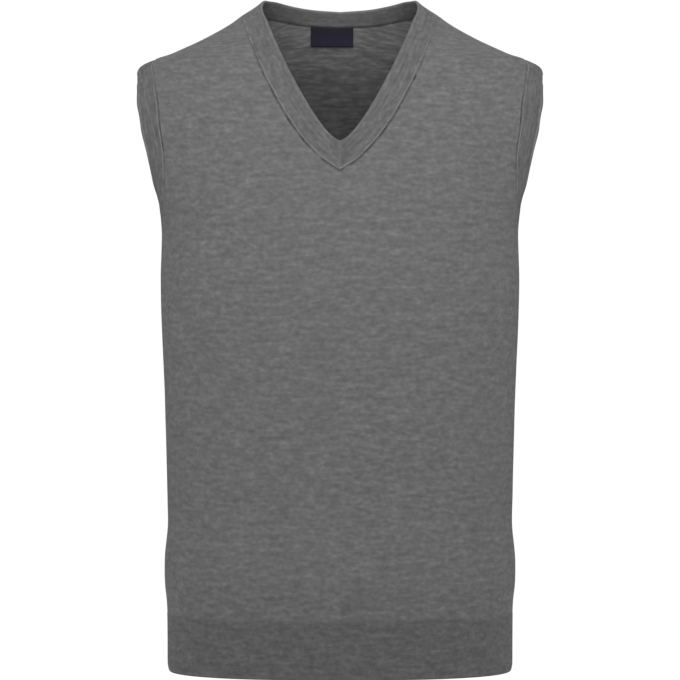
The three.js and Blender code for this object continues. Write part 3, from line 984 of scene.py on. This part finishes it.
# %% Describe a panel's edges and tones
PANEL_WALL = 1.6
EDGE_THIN = 0.45
EDGE_THIN_REACH = 2.2
FOLDS_FROM_SEAM = 14
# a painted pool of light on each side, just above the rib
SIDE_PAINTED_LIGHT = 0.24
SIDE_LIGHT_HEIGHT = -561
SIDE_LIGHT_REACH = 17
SIDE_LIGHT_WIDTH = 52
# inside: painted shade in the groove, and in the back painted light near the neck and painted shade lower
# down, stronger towards the sides
INNER_GROOVE_SHADE = 0.95
CORNER_FROM = 25
CORNER_REACH = 45
CORNER_SHADING_GAIN = 0.6
INNER_PAINTED_SHADING = Table(
    "height tone",
    [(-999, -0.3), (-150, -0.3), (-95, -0.22), (-60, 0), (-35, 0.3), (-15, 0.5), (30, 0.5)],
)
# the last column darkens the groove with painted shade and pales the swelling with a painted highlight
LINKED_EDGE = Table(
    "distance rise worn",
    [
        (0, -0.75, -0.6),
        (0.7, -0.55, -0.5),
        (1.3, -0.1, -0.22),
        (2.0, 0.24, 0.08),
        (2.8, 0.14, 0.1),
        (4.5, 0, 0),
        (999, 0, 0),
    ],
)
SIDE_EDGE = Table(
    "distance rise",
    [(0, -0.5), (0.5, -0.12), (1.2, 0.12), (2.0, 0.1), (3.6, 0), (4.6, 0), (999, 0)],
)
# the last column is painted shade: a broken dark line just above the hem seam
RIB_EDGE = Table(
    "distance rise worn",
    [(0, -0.08, 0), (0.7, -0.02, -0.16), (1.4, 0.03, -0.05), (3, 0.01, 0), (5, 0, 0), (999, 0, 0)],
)
RIB_EDGE_BROKEN = (1.6, 3.5)
# how close together a seam's points are, in rows, in number or in mm, when distances are measured
NECK_STEP = 0.02
ARMHOLE_POINTS = 700
SIDE_STEP = 0.5
SHOULDER_STEP = 0.3

# %% Shape and tone a panel


def seam_points(turn, height):
    """A seam on the wearer's left, and its mirror image, as close points."""
    left = form_point(turn, height)
    return np.concatenate([left, left * (-1, 1, 1)])


def soft_spot(distance, width):
    """1 at no distance, and softly down to nothing at about twice the width."""
    return np.exp(-((distance / width) ** 2))


def panel_relief(face, points, across, height):
    """How far the cloth of a panel stands off the form, how thick its wall is, and its masks."""
    first, last = (0, NECK_POINT) if face == "front" else (NECK_POINT, BACK_NECK)
    neck_rows = np.arange(first, last + NECK_STEP / 2, NECK_STEP)
    neck = seam_points(NECK_LINE.read("turn", neck_rows), NECK_LINE.read("height", neck_rows))
    armholes = seam_points(*armhole_line(face, np.linspace(0, 180, ARMHOLE_POINTS)))
    side = seam_points(SIDE_TURN, np.arange(HEM_SEAM, UNDERARM, SIDE_STEP))
    shoulder = seam_points(SIDE_TURN, np.arange(SHOULDER_TIP, 0, SHOULDER_STEP))
    to_link = distance_to(np.concatenate([neck, armholes]), points)
    to_side = distance_to(np.concatenate([side, shoulder]), points)
    to_seam = np.minimum(to_link, to_side)
    linked = linked_share(points)

    rise = fold_rise(face, across, height) + cockle(points)
    rise *= np.clip(to_seam / FOLDS_FROM_SEAM, 0, 1) ** 0.5
    rise += LINKED_EDGE.read("rise", to_link) * linked + SIDE_EDGE.read("rise", to_side)
    rise += RIB_EDGE.read("rise", height - HEM_SEAM) + DRAWN_IN.read("rise", height)
    wall_share = between(EDGE_THIN, 1, np.clip(to_seam / EDGE_THIN_REACH, 0, 1))

    # masks of painted shade and highlights by the seams, a painted pool of light at the sides, and painted
    # light and shade inside
    worn = LINKED_EDGE.read("worn", to_link) * linked
    worn += RIB_EDGE.read("worn", height - HEM_SEAM) * broken(points, *RIB_EDGE_BROKEN)
    painted_side_light = SIDE_PAINTED_LIGHT * soft_spot(height - SIDE_LIGHT_HEIGHT, SIDE_LIGHT_REACH)
    painted_side_light = painted_side_light * soft_spot(distance_to(side, points), SIDE_LIGHT_WIDTH)
    painted_inner_shading = LINKED_EDGE.read("worn", to_link) * INNER_GROOVE_SHADE
    if face == "back":
        at_corner = np.clip((np.abs(points[..., 0]) - CORNER_FROM) / CORNER_REACH, 0, 1)
        painted_inner_shading = painted_inner_shading + INNER_PAINTED_SHADING.read("tone", height) * (1 + CORNER_SHADING_GAIN * at_corner)
    return rise, wall_share, {"worn": worn, "painted_side_light": painted_side_light, "painted_inner_shading": painted_inner_shading}


# %% Make a panel


def make_panel(face):
    """One panel, laid on the form and given its wall."""
    turn, height = panel_chart(face)
    across, up = across_cloth(face, turn, height), up_cloth(turn, height)
    points = form_point(turn, height)
    rise, wall_share, masks = panel_relief(face, points, across, height)
    points = points + form_normal(turn, height) * rise[..., None]
    panel = lay_grid(f"{face}_panel_knit", points, across, up, [body_knit, body_reverse], masks,
                     wall_share)
    wall = panel.modifiers.new("wall", "SOLIDIFY")
    wall.thickness = PANEL_WALL * MM
    wall.offset = -1
    wall.vertex_group = "wall"
    wall.material_offset = 1
    return panel


def adopt(piece, node):
    """Puts a piece in its CAD node's place."""
    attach(piece, "root")
    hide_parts(node)
    print(f"{piece.name}: {len(piece.data.polygons)} faces")


# %% Build the panels
front_panel, back_panel = make_panel("front"), make_panel("back")
adopt(front_panel, "front_panel")
adopt(back_panel, "back_panel")

# %% [markdown]
# ## Tubes of doubled cloth
#
# Hem, neckband and armbands end in a rolled edge, where the cloth turns back on itself. So each is
# modelled as a long flat tube: an outer face, a half round at the free edge, and an inner face back
# to the seam. The cross-section is a list of distances from the seam and distances out of the face,
# worked out from the width and the wall, and the grid carries it along the seam.

# %% Work out a tube's cross-section


def tube_section(width, wall, roll, face_steps, edge_steps=10, back_steps=12):
    """How far from the seam, and how far out of the face, each line of a flat tube lies."""
    radius = wall / 2
    flat = np.asarray(width)[..., None] - roll
    crowded = 1 - np.cos(np.linspace(0, math.pi / 2, face_steps + 1))
    angle = np.linspace(math.pi / 2, -math.pi / 2, edge_steps + 1)[1:-1]
    edge = flat + roll * np.cos(angle)
    away = np.concatenate([flat * crowded, edge, flat * np.linspace(1, 0, back_steps + 1)], axis=-1)
    out = np.concatenate([
        np.zeros(face_steps + 1), radius * np.sin(angle) - radius, np.full(back_steps + 1, -wall)
    ])
    return away, np.broadcast_to(out, away.shape).copy()


def wrapped(rows):
    """The same rows, with the first one again at the end."""
    return np.concatenate([rows, rows[:1]])


print("lines in a small tube's section:", len(tube_section(20, 2, 2, face_steps=4)[0]))

# %% [markdown]
# ## Hem ribs
#
# The deep hem is one-by-one rib: wales of face and reverse by turns, which close up and grip. At
# 3.4 mm from rib to rib they are large enough to be real geometry, so the grid has seven columns to
# each, and the cloth swells and sinks across them. They flatten at the seam and on the start edge.
# The rib is paler along its start edge, partly from wear and partly by a painted highlight on the
# fold, paler along its seam by a painted highlight, and a little paler towards the sides by painted
# light.

# %% Describe the hem ribs
RIB_WALL = 2.2
RIB_ROLL = 1.8
RIB_RISE = 0.1
RIB_PHASE = 0.25
COLUMNS_PER_RIB = 7
RIB_STATIONS = 400
INNER_SWELL = -0.6
INNER_RISE = -0.4
# over how many millimetres the ribs reach their full rise, and the least share of it that they keep
RIB_FADE_TOP = (1.5, 0.5)
RIB_FADE_EDGE = (2.5, 0.35)
# painted light towards the rib's sides
RIB_SIDE_PAINTED_LIGHT = 0.24
RIB_SIDE_WIDTH = 48
# along the fold at the start edge, partly wear and partly a painted highlight
HEM_WEAR_AND_HIGHLIGHT = 0.28
HEM_WEAR_AND_HIGHLIGHT_AT = 1.6
HEM_WEAR_AND_HIGHLIGHT_WIDTH = 0.9
RIB_TOP_BROKEN = 0.5
# the last column is a painted highlight along the seam
RIB_TOP = Table(
    "away rise worn",
    [(0, -0.1, 0.16), (0.8, -0.04, 0.2), (1.8, 0.01, 0.04), (3.5, 0, 0), (999, 0, 0)],
)
RIB_DRAW_IN = Table("to_edge rise", [(0, -1.5), (2, -1.0), (4.5, -0.35), (9, 0), (999, 0)])

# %% Build the hem ribs


def fade_in(distance, reach, least):
    """A share that grows with distance, from the least one up to 1."""
    return np.clip(distance / reach, least, 1)


def make_hem_rib(face):
    """The rib below one panel, as a tube of cloth that runs from side seam to side seam."""
    turns = np.linspace(0, SIDE_TURN, RIB_STATIONS)
    reach = path_length(form_point(turns, HEM_SEAM))[-1]
    count = round(2 * reach / RIB_PITCH) * COLUMNS_PER_RIB
    centre, facing = CENTRE_TURN[face], 1 if face == "front" else -1
    at_edge = np.full(turns.shape, float(HEM_EDGE))
    local = np.abs(across_cloth(face, centre + facing * turns, at_edge))
    side = np.linspace(-local[-1], local[-1], count + 1)
    turn = centre + np.sign(side) * np.interp(np.abs(side), local, turns)

    width = HEM_SEAM - HEM_EDGE - SEAM_CLEAR
    away, out = tube_section(width, RIB_WALL, RIB_ROLL, face_steps=18, edge_steps=8, back_steps=8)
    to_edge = HEM_SEAM - HEM_EDGE - away
    outer = (out > -RIB_WALL / 2)[:, None]
    swell = RIB_RISE * np.cos(2 * math.pi * (side / RIB_PITCH - RIB_PHASE))[None, :]
    steady = fade_in(away, *RIB_FADE_TOP) * fade_in(to_edge, *RIB_FADE_EDGE)
    rise = np.where(outer, 1, INNER_SWELL) * swell * steady[:, None]
    rise += np.where(outer, 1, INNER_RISE) * RIB_TOP.read("rise", away)[:, None]
    rise += RIB_DRAW_IN.read("rise", to_edge)[:, None]
    height = np.broadcast_to((HEM_SEAM - SEAM_CLEAR - away)[:, None], rise.shape)
    turn = np.broadcast_to(turn, rise.shape)
    points = form_point(turn, height)

    # wear and a painted highlight on the fold, a painted highlight at the seam, and painted light at the
    # sides
    worn = HEM_WEAR_AND_HIGHLIGHT * soft_spot(to_edge[:, None] - HEM_WEAR_AND_HIGHLIGHT_AT, HEM_WEAR_AND_HIGHLIGHT_WIDTH)
    worn = worn + RIB_TOP.read("worn", away)[:, None] * broken(points, RIB_TOP_BROKEN)
    worn = np.where(outer, worn, 0)
    painted_side_light = np.where(outer, RIB_SIDE_PAINTED_LIGHT * soft_spot(local[-1] - np.abs(side), RIB_SIDE_WIDTH), 0)
    rise = rise + cockle(points) + DRAWN_IN.read("rise", height)
    points = points + form_normal(turn, height) * (out[:, None] + rise)[..., None]

    across = np.broadcast_to(side, rise.shape)
    points, across, worn, painted_side_light = (wrapped(part) for part in (points, across, worn, painted_side_light))
    down = path_length(np.stack([away, out], axis=-1))
    up = np.broadcast_to(-np.append(down, down[-1] + RIB_WALL)[:, None], across.shape)
    masks = {"worn": worn, "painted_side_light": painted_side_light}
    rib = lay_grid(f"hem_rib_{face}_knit", points, across, up, [rib_knit], masks)
    close_up(rib)
    return rib


for face in ("front", "back"):
    rib = make_hem_rib(face)
    adopt(rib, f"hem_rib_{face}")

# %% [markdown]
# ## Neckband and armbands
#
# A band is a strip knitted double. One layer is linked to the outside of the garment's edge and one
# to the inside, so it leaves the seam in the cloth's own direction and then bends towards its free
# edge. At each place along the seam, that bend is a curve with three control points. The linking
# raises a line of loops beside the groove, and the two ends of the neckband are joined in a mitre
# below the V, which stands up a little.
#
# The band's mask makes it paler along its free edge, partly from wear and partly by a painted
# highlight on the roll. Painted shade darkens the groove and a painted highlight makes the raised
# cloth beside it paler, and on the armbands painted shade runs just inside the pale edge. Faint
# lines run along it, the raised mitre is paler, and inside the neck painted light makes it paler at
# the nape.

# %% Describe the bands
BAND_WALL = 2.6
BAND_ROLL = 2.3
BAND_REACH = 0.5
BAND_FACE_STEPS = 30
BEND_STEPS = 24
BAND_MIDDLE = 12
BAND_COCKLE_SIZE = 18
BAND_COCKLE_RISE = 0.12
INNER_EDGE = -0.8
# the last column darkens the groove with painted shade, pales the raised cloth beside it with a painted
# highlight, and shades it a little beyond
BAND_EDGE = Table(
    "away rise worn",
    [
        (0, -0.6, -0.45),
        (0.5, -0.3, -0.25),
        (1.0, 0.15, 0.1),
        (1.7, 0.38, 0.32),
        (2.4, 0.26, 0.2),
        (3.2, 0.02, -0.1),
        (4.2, -0.04, -0.12),
        (5.6, 0, 0),
        (999, 0, 0),
    ],
)
# paler along the free edge, partly wear and partly a painted highlight on the roll; on the armbands painted
# shade just inside it
NECK_EDGE = Table("to_edge worn", [(0, 0.5), (1.1, 0.42), (2.4, 0.06), (4, 0), (999, 0)])
ARM_EDGE = Table(
    "to_edge worn",
    [(0, 0.65), (1.6, 0.6), (2.6, 0.15), (3.5, -0.24), (4.6, -0.1), (6, 0), (999, 0)],
)
# faint paler and darker lines along the band
BAND_LINE_PITCH = 4.3
BAND_LINE_CONTRAST = 0.1
BAND_LINE_BROKEN = (1.5, 9)
EDGE_CROWN = 0.2
EDGE_CROWN_AT = 2.6
EDGE_CROWN_WIDTH = 1.6
# painted light on the inner layer at the nape
NAPE_PAINTED_LIGHT = 0.62
NAPE_WIDTH = 42
MITRE_RISE = 0.6
MITRE_WIDTH = 1.3
# the raised mitre is made paler
MITRE_PALENESS = 0.4

# %% Follow a band's bend


def slopes(points, axis, closed):
    """The direction of a grid of points along one of its axes."""
    if not closed:
        return np.gradient(points, axis=axis)
    return np.roll(points, -1, axis=axis) - np.roll(points, 1, axis=axis)


def leaving_seam(seam, out_of_form, edge):
    """The direction in which a band leaves its seam: towards its edge, in the cloth's own plane."""
    chord = edge - seam
    return unit(chord - out_of_form * (chord * out_of_form).sum(-1, keepdims=True))


def bend(start, middle, edge, share):
    """Places on a curve from the start to the edge that sets out towards the middle."""
    start, middle, edge = start[:, None], middle[:, None], edge[:, None]
    return start * (1 - share) ** 2 + middle * 2 * share * (1 - share) + edge * share**2


# %% Make a band


def make_band(name, seam, out_of_form, edge, edge_tone, reach=BAND_REACH, closed=False, mitred=False):
    """A doubled band from a seam to its free edge. Both are arrays of points along the seam."""
    leaving = leaving_seam(seam, out_of_form, edge)
    start = seam + leaving * SEAM_CLEAR
    width = np.linalg.norm(edge - start, axis=-1)
    middle = start + leaving * (width * reach)[:, None]

    away, out = tube_section(width, BAND_WALL, BAND_ROLL, face_steps=BAND_FACE_STEPS)
    share = (away / width[:, None])[..., None]
    bent = bend(start, middle, edge, share)
    curve = bend(start, middle, edge, np.linspace(0, 1, BEND_STEPS + 1)[None, :, None])
    normals = unit(np.cross(slopes(curve, 0, closed), np.gradient(curve, axis=1)))
    if mitred:
        normals[[0, -1], :, 0] = 0
        normals = unit(normals)
    step = np.clip(share[..., 0] * BEND_STEPS, 0, BEND_STEPS - 0.001)
    low = step.astype(int)
    station = np.arange(len(seam))[:, None]
    normal = unit(between(normals[station, low], normals[station, low + 1], (step - low)[..., None]))

    outer = out > -BAND_WALL / 2
    to_edge = width[:, None] - away
    linked = linked_share(bent)
    rise = np.where(outer, 1, INNER_EDGE) * BAND_EDGE.read("rise", away) * linked
    rise += np.where(outer, EDGE_CROWN, 0) * soft_spot(to_edge - EDGE_CROWN_AT, EDGE_CROWN_WIDTH)
    # painted shade and a painted highlight by the groove, wear and a painted highlight on the edge, and
    # painted light at the nape
    worn = np.where(outer, BAND_EDGE.read("worn", away) * linked, 0)
    worn += edge_tone.read("worn", np.maximum(to_edge, 0))
    lines = np.cos(2 * math.pi * away / BAND_LINE_PITCH)
    worn += BAND_LINE_CONTRAST * lines * broken(bent, *BAND_LINE_BROKEN)
    if mitred:
        on_mitre = np.where(outer, 1, 0) * soft_spot(bent[..., 0], MITRE_WIDTH)
        on_mitre *= bent[..., 1] < 0
        rise += MITRE_RISE * on_mitre
        worn += MITRE_PALENESS * on_mitre
        at_nape = (bent[..., 1] > 0) & ~outer
        worn += np.where(at_nape, NAPE_PAINTED_LIGHT, 0) * soft_spot(bent[..., 0], NAPE_WIDTH)
    rise += cockle(bent, BAND_COCKLE_SIZE, BAND_COCKLE_RISE)
    points = bent + normal * (out + rise)[..., None]
    if mitred:
        points[0, :, 0], points[-1, :, 0] = SEAM_CLEAR, -SEAM_CLEAR
    along = path_length(seam + leaving * BAND_MIDDLE)
    round_it = path_length(np.stack([away, out], axis=-1))
    points = np.concatenate([points, points[:, :1]], axis=1)
    worn = np.concatenate([worn, worn[:, :1]], axis=1)
    round_it = np.concatenate([round_it, round_it[:, -1:] + BAND_WALL], axis=1)
    if closed:
        points, worn, round_it = wrapped(points), wrapped(worn), wrapped(round_it)
        along = np.append(along, along[-1] + np.linalg.norm(seam[0] - seam[-1]))
    along = np.broadcast_to(along[:, None], points.shape[:2])
    band = lay_grid(name, points, along, round_it, [band_knit], {"worn": worn})
    close_up(band)
    return band


# %% Describe the linking
LINK_PITCH = 1.7
LINK_AWAY = 1.45
LINK_LEAN = 24
LINK_LOW = 0.12
LINK_WANDER = 0.5
LINK_WANDER_SIZE = 7
LINK_SINK = 0.35
LINK_SIZE = Vector((2.1, 1.0, 0.85))

# %% Make the loops of the linking


def string_of_beads(count):
    """A mesh of equal beads at one spot, in order. One bead is doubled until there are enough."""
    made = bmesh.new()
    bmesh.ops.create_uvsphere(made, u_segments=7, v_segments=5, radius=1)
    each = len(made.verts)
    while len(made.verts) < count * each:
        bmesh.ops.duplicate(made, geom=[*made.verts, *made.edges, *made.faces])
    made.verts.index_update()
    spare = [vert for vert in made.verts if vert.index >= count * each]
    bmesh.ops.delete(made, geom=spare, context="VERTS")
    made.verts.index_update()
    return made, each


# %% Lay the loops along a seam


def make_linking(name, seam, out_of_form, edge, closed=False):
    """The line of loops that links a band on, as small beads that lean along the seam."""
    leaving = leaving_seam(seam, out_of_form, edge)
    shows = seam_fade(seam)
    rise = BAND_EDGE.read("rise", LINK_AWAY) * shows - LINK_SINK * (1 - shows) - LINK_LOW
    rise += cockle(seam, LINK_WANDER_SIZE, LINK_WANDER)
    line = seam + leaving * LINK_AWAY + out_of_form * rise[:, None]
    if closed:
        line, leaving, out_of_form = wrapped(line), wrapped(leaving), wrapped(out_of_form)
    so_far = path_length(line)
    count = int(so_far[-1] / LINK_PITCH)
    made, each = string_of_beads(count)
    lean = Matrix.Rotation(math.radians(LINK_LEAN), 4, "Z")
    size = Matrix.Diagonal(LINK_SIZE * MM / 2).to_4x4()
    stations = (np.arange(count) + 0.5) / count * so_far[-1]
    places = []
    for at in stations:
        place, across, up = (
            Vector([np.interp(at, so_far, part[:, axis]) for axis in range(3)])
            for part in (line, leaving, out_of_form)
        )
        turned = Matrix([up.cross(across), across, up]).transposed()
        places.append(Matrix.Translation(place * MM) @ turned.to_4x4() @ lean @ size)
    for vert in made.verts:
        vert.co = places[vert.index // each] @ vert.co
    for face in made.faces:
        face.smooth = True
    bmesh.ops.recalc_face_normals(made, faces=made.faces)
    mesh = bpy.data.meshes.new(name)
    made.to_mesh(mesh)
    made.free()
    mesh.materials.append(linking_yarn)
    piece = put_in_scene(name, mesh)
    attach(piece, "root")
    print(f"{name}: {count} loops")


# %% Follow the neck and the armholes
TIP_REACH = 0.45
TIP_LIFT = 2.5
TIP_FROM = -66
TIP_PART = 150
TIP_RUN = 25


def neck_stations(per_row=9):
    """The whole neck seam, the way out of the form there, and the free edge, from V point to V point."""
    row = np.linspace(0, BACK_NECK, BACK_NECK * per_row + 1)
    turn, height = NECK_LINE.read("turn", row), NECK_LINE.read("height", row)
    edge = np.stack([NECK.read(f"edge_{axis}", row) for axis in "xyz"], axis=-1)
    seam, normal = form_point(turn, height), form_normal(turn, height)
    flip = np.array([-1, 1, 1])
    return [np.concatenate([part, part[-2::-1] * flip]) for part in (seam, normal, edge)]


def armhole_stations(side, per_face=84):
    """The same round one armhole, from the underarm up the back and down the front."""
    parts = np.linspace(0, 180, per_face + 1)
    seam, normal, edge = [], [], []
    for face, part in (("back", parts[:-1]), ("front", parts[:0:-1])):
        shape = ARMHOLE[face]
        turn, height = armhole_line(face, part)
        point = form_point(turn, height)
        reach, edge_height = egg(part, shape["low_belly"], ARMBAND_EDGE_BOTTOM, ARMBAND_EDGE_TOP,
                                 shape["edge_reach"])
        forward = -1 if face == "front" else 1
        seam.append(point)
        lift = TIP_LIFT * np.clip((part - TIP_PART) / TIP_RUN, 0, 1)
        normal.append(form_normal(turn, height + lift))
        edge_x = point[:, 0] + ARMBAND_FLARE.read(face, part)
        edge.append(np.stack([edge_x, forward * reach, edge_height], axis=-1))
    flip = np.array([side, 1, 1])
    return [np.concatenate(part)[::side] * flip for part in (seam, normal, edge)]


# %% Build the bands and their linking
neckband = make_band("neckband_knit", *neck_stations(), NECK_EDGE, mitred=True)
make_linking("neck_linking", *neck_stations())
adopt(neckband, "neckband")
for name, side in (("left", 1), ("right", -1)):
    stations = armhole_stations(side)
    near_tip = np.clip((stations[0][:, 2] - TIP_FROM) / (SHOULDER_TIP - TIP_FROM), 0, 1)
    reach = BAND_REACH + TIP_REACH * near_tip
    armband = make_band(f"armband_{name}_knit", *stations, ARM_EDGE, reach, closed=True)
    make_linking(f"armhole_linking_{name}", *stations, closed=True)
    adopt(armband, f"armband_{name}")

# %% [markdown]
# ## Neck label
#
# The woven label is caught in the back neck seam by its top edge and hangs down inside. It is a
# dense satin, so it has a slight shine that wool never has, and a fine cross-grain. It is left bare.

# %% Describe the label
LABEL_LEFT = 13
LABEL_RIGHT = -29
LABEL_BELOW_SEAM = 0.3
LABEL_BOTTOM = -22.5
LABEL_LENGTH = 17
LABEL_WALL = 0.5
LABEL_SEAM_ROW = 14
LABEL_SEAM_POINTS = 80
LABEL_HANG = (1.8, 3.4)
LABEL_BOW = 0.7
LABEL_DEPTH = 0.08
LABEL_ROUGHNESS = 0.6
LABEL_SPECULAR = 0.2
# scale, distortion and detail of its rows, and scale and detail of its specks
LABEL_ROWS = (380.0, 1.5, 1.0)
LABEL_SPECKS = (1400.0, 2.0)
# the label's navy, and a darker one towards the seam that is a painted shadow of the neckband
NAVY_LOW = (0.027, 0.0245, 0.056, 1)
NAVY_IN_PAINTED_SHADOW = (0.0125, 0.012, 0.0165, 1)
NAVY_SPECK = (0.024, 0.022, 0.034, 1)

# %% Make the label's satin


def label_material():
    """Navy satin, woven in fine rows, and darker towards the seam."""
    material, tree, shader = start_material("woven_label", LABEL_ROUGHNESS, LABEL_SPECULAR)
    place = add(tree, "UVMap", uv_map="knit")
    rows = add(tree, "TexWave", place, *LABEL_ROWS, bands_direction="Y")
    split = tree.nodes.new("ShaderNodeSeparateXYZ")
    tree.links.new(place, split.inputs[0])
    towards_seam = calc(tree, "DIVIDE", split.outputs["Y"], LABEL_LENGTH * MM)
    speck = add(tree, "TexNoise", place, None, *LABEL_SPECKS)
    # darker towards the seam: a painted shadow of the neckband
    navy = blend(tree, towards_seam, NAVY_LOW, NAVY_IN_PAINTED_SHADOW)
    color = blend(tree, speck, navy, blend(tree, 0.5, navy, NAVY_SPECK))
    tree.links.new(color, shader.inputs["Base Color"])
    raise_surface(tree, shader, rows, LABEL_DEPTH)
    return material


# %% Build the label


def make_label(columns=36, rows=14):
    """The label, which hangs further from the cloth towards its lower edge."""
    x = np.linspace(LABEL_LEFT, LABEL_RIGHT, columns + 1)
    seam_rows = np.linspace(BACK_NECK, LABEL_SEAM_ROW, LABEL_SEAM_POINTS)
    seam_x, seam_z = NECK.read("seam_x", seam_rows), NECK.read("seam_z", seam_rows)
    top = np.interp(np.abs(x), seam_x, seam_z) - LABEL_BELOW_SEAM
    down = np.linspace(1, 0, rows + 1)[:, None]
    height = between(top, float(LABEL_BOTTOM), down)
    x = np.broadcast_to(x, height.shape)
    turn = side_turn(np.abs(x) / FORM.read("half_width", height), FORM.read("square", height))
    turn = CENTRE_TURN["back"] - np.sign(x) * turn
    hang = between(*LABEL_HANG, down**LABEL_BOW)
    points = form_point(turn, height) - form_normal(turn, height) * hang[..., None]
    across, up = LABEL_LEFT - x, height - LABEL_BOTTOM
    label = lay_grid("neck_label_woven", points, across, up, [label_material()], {})
    wall = label.modifiers.new("wall", "SOLIDIFY")
    wall.thickness = LABEL_WALL * MM
    wall.offset = -1
    return label


label = make_label()
adopt(label, "neck_label")
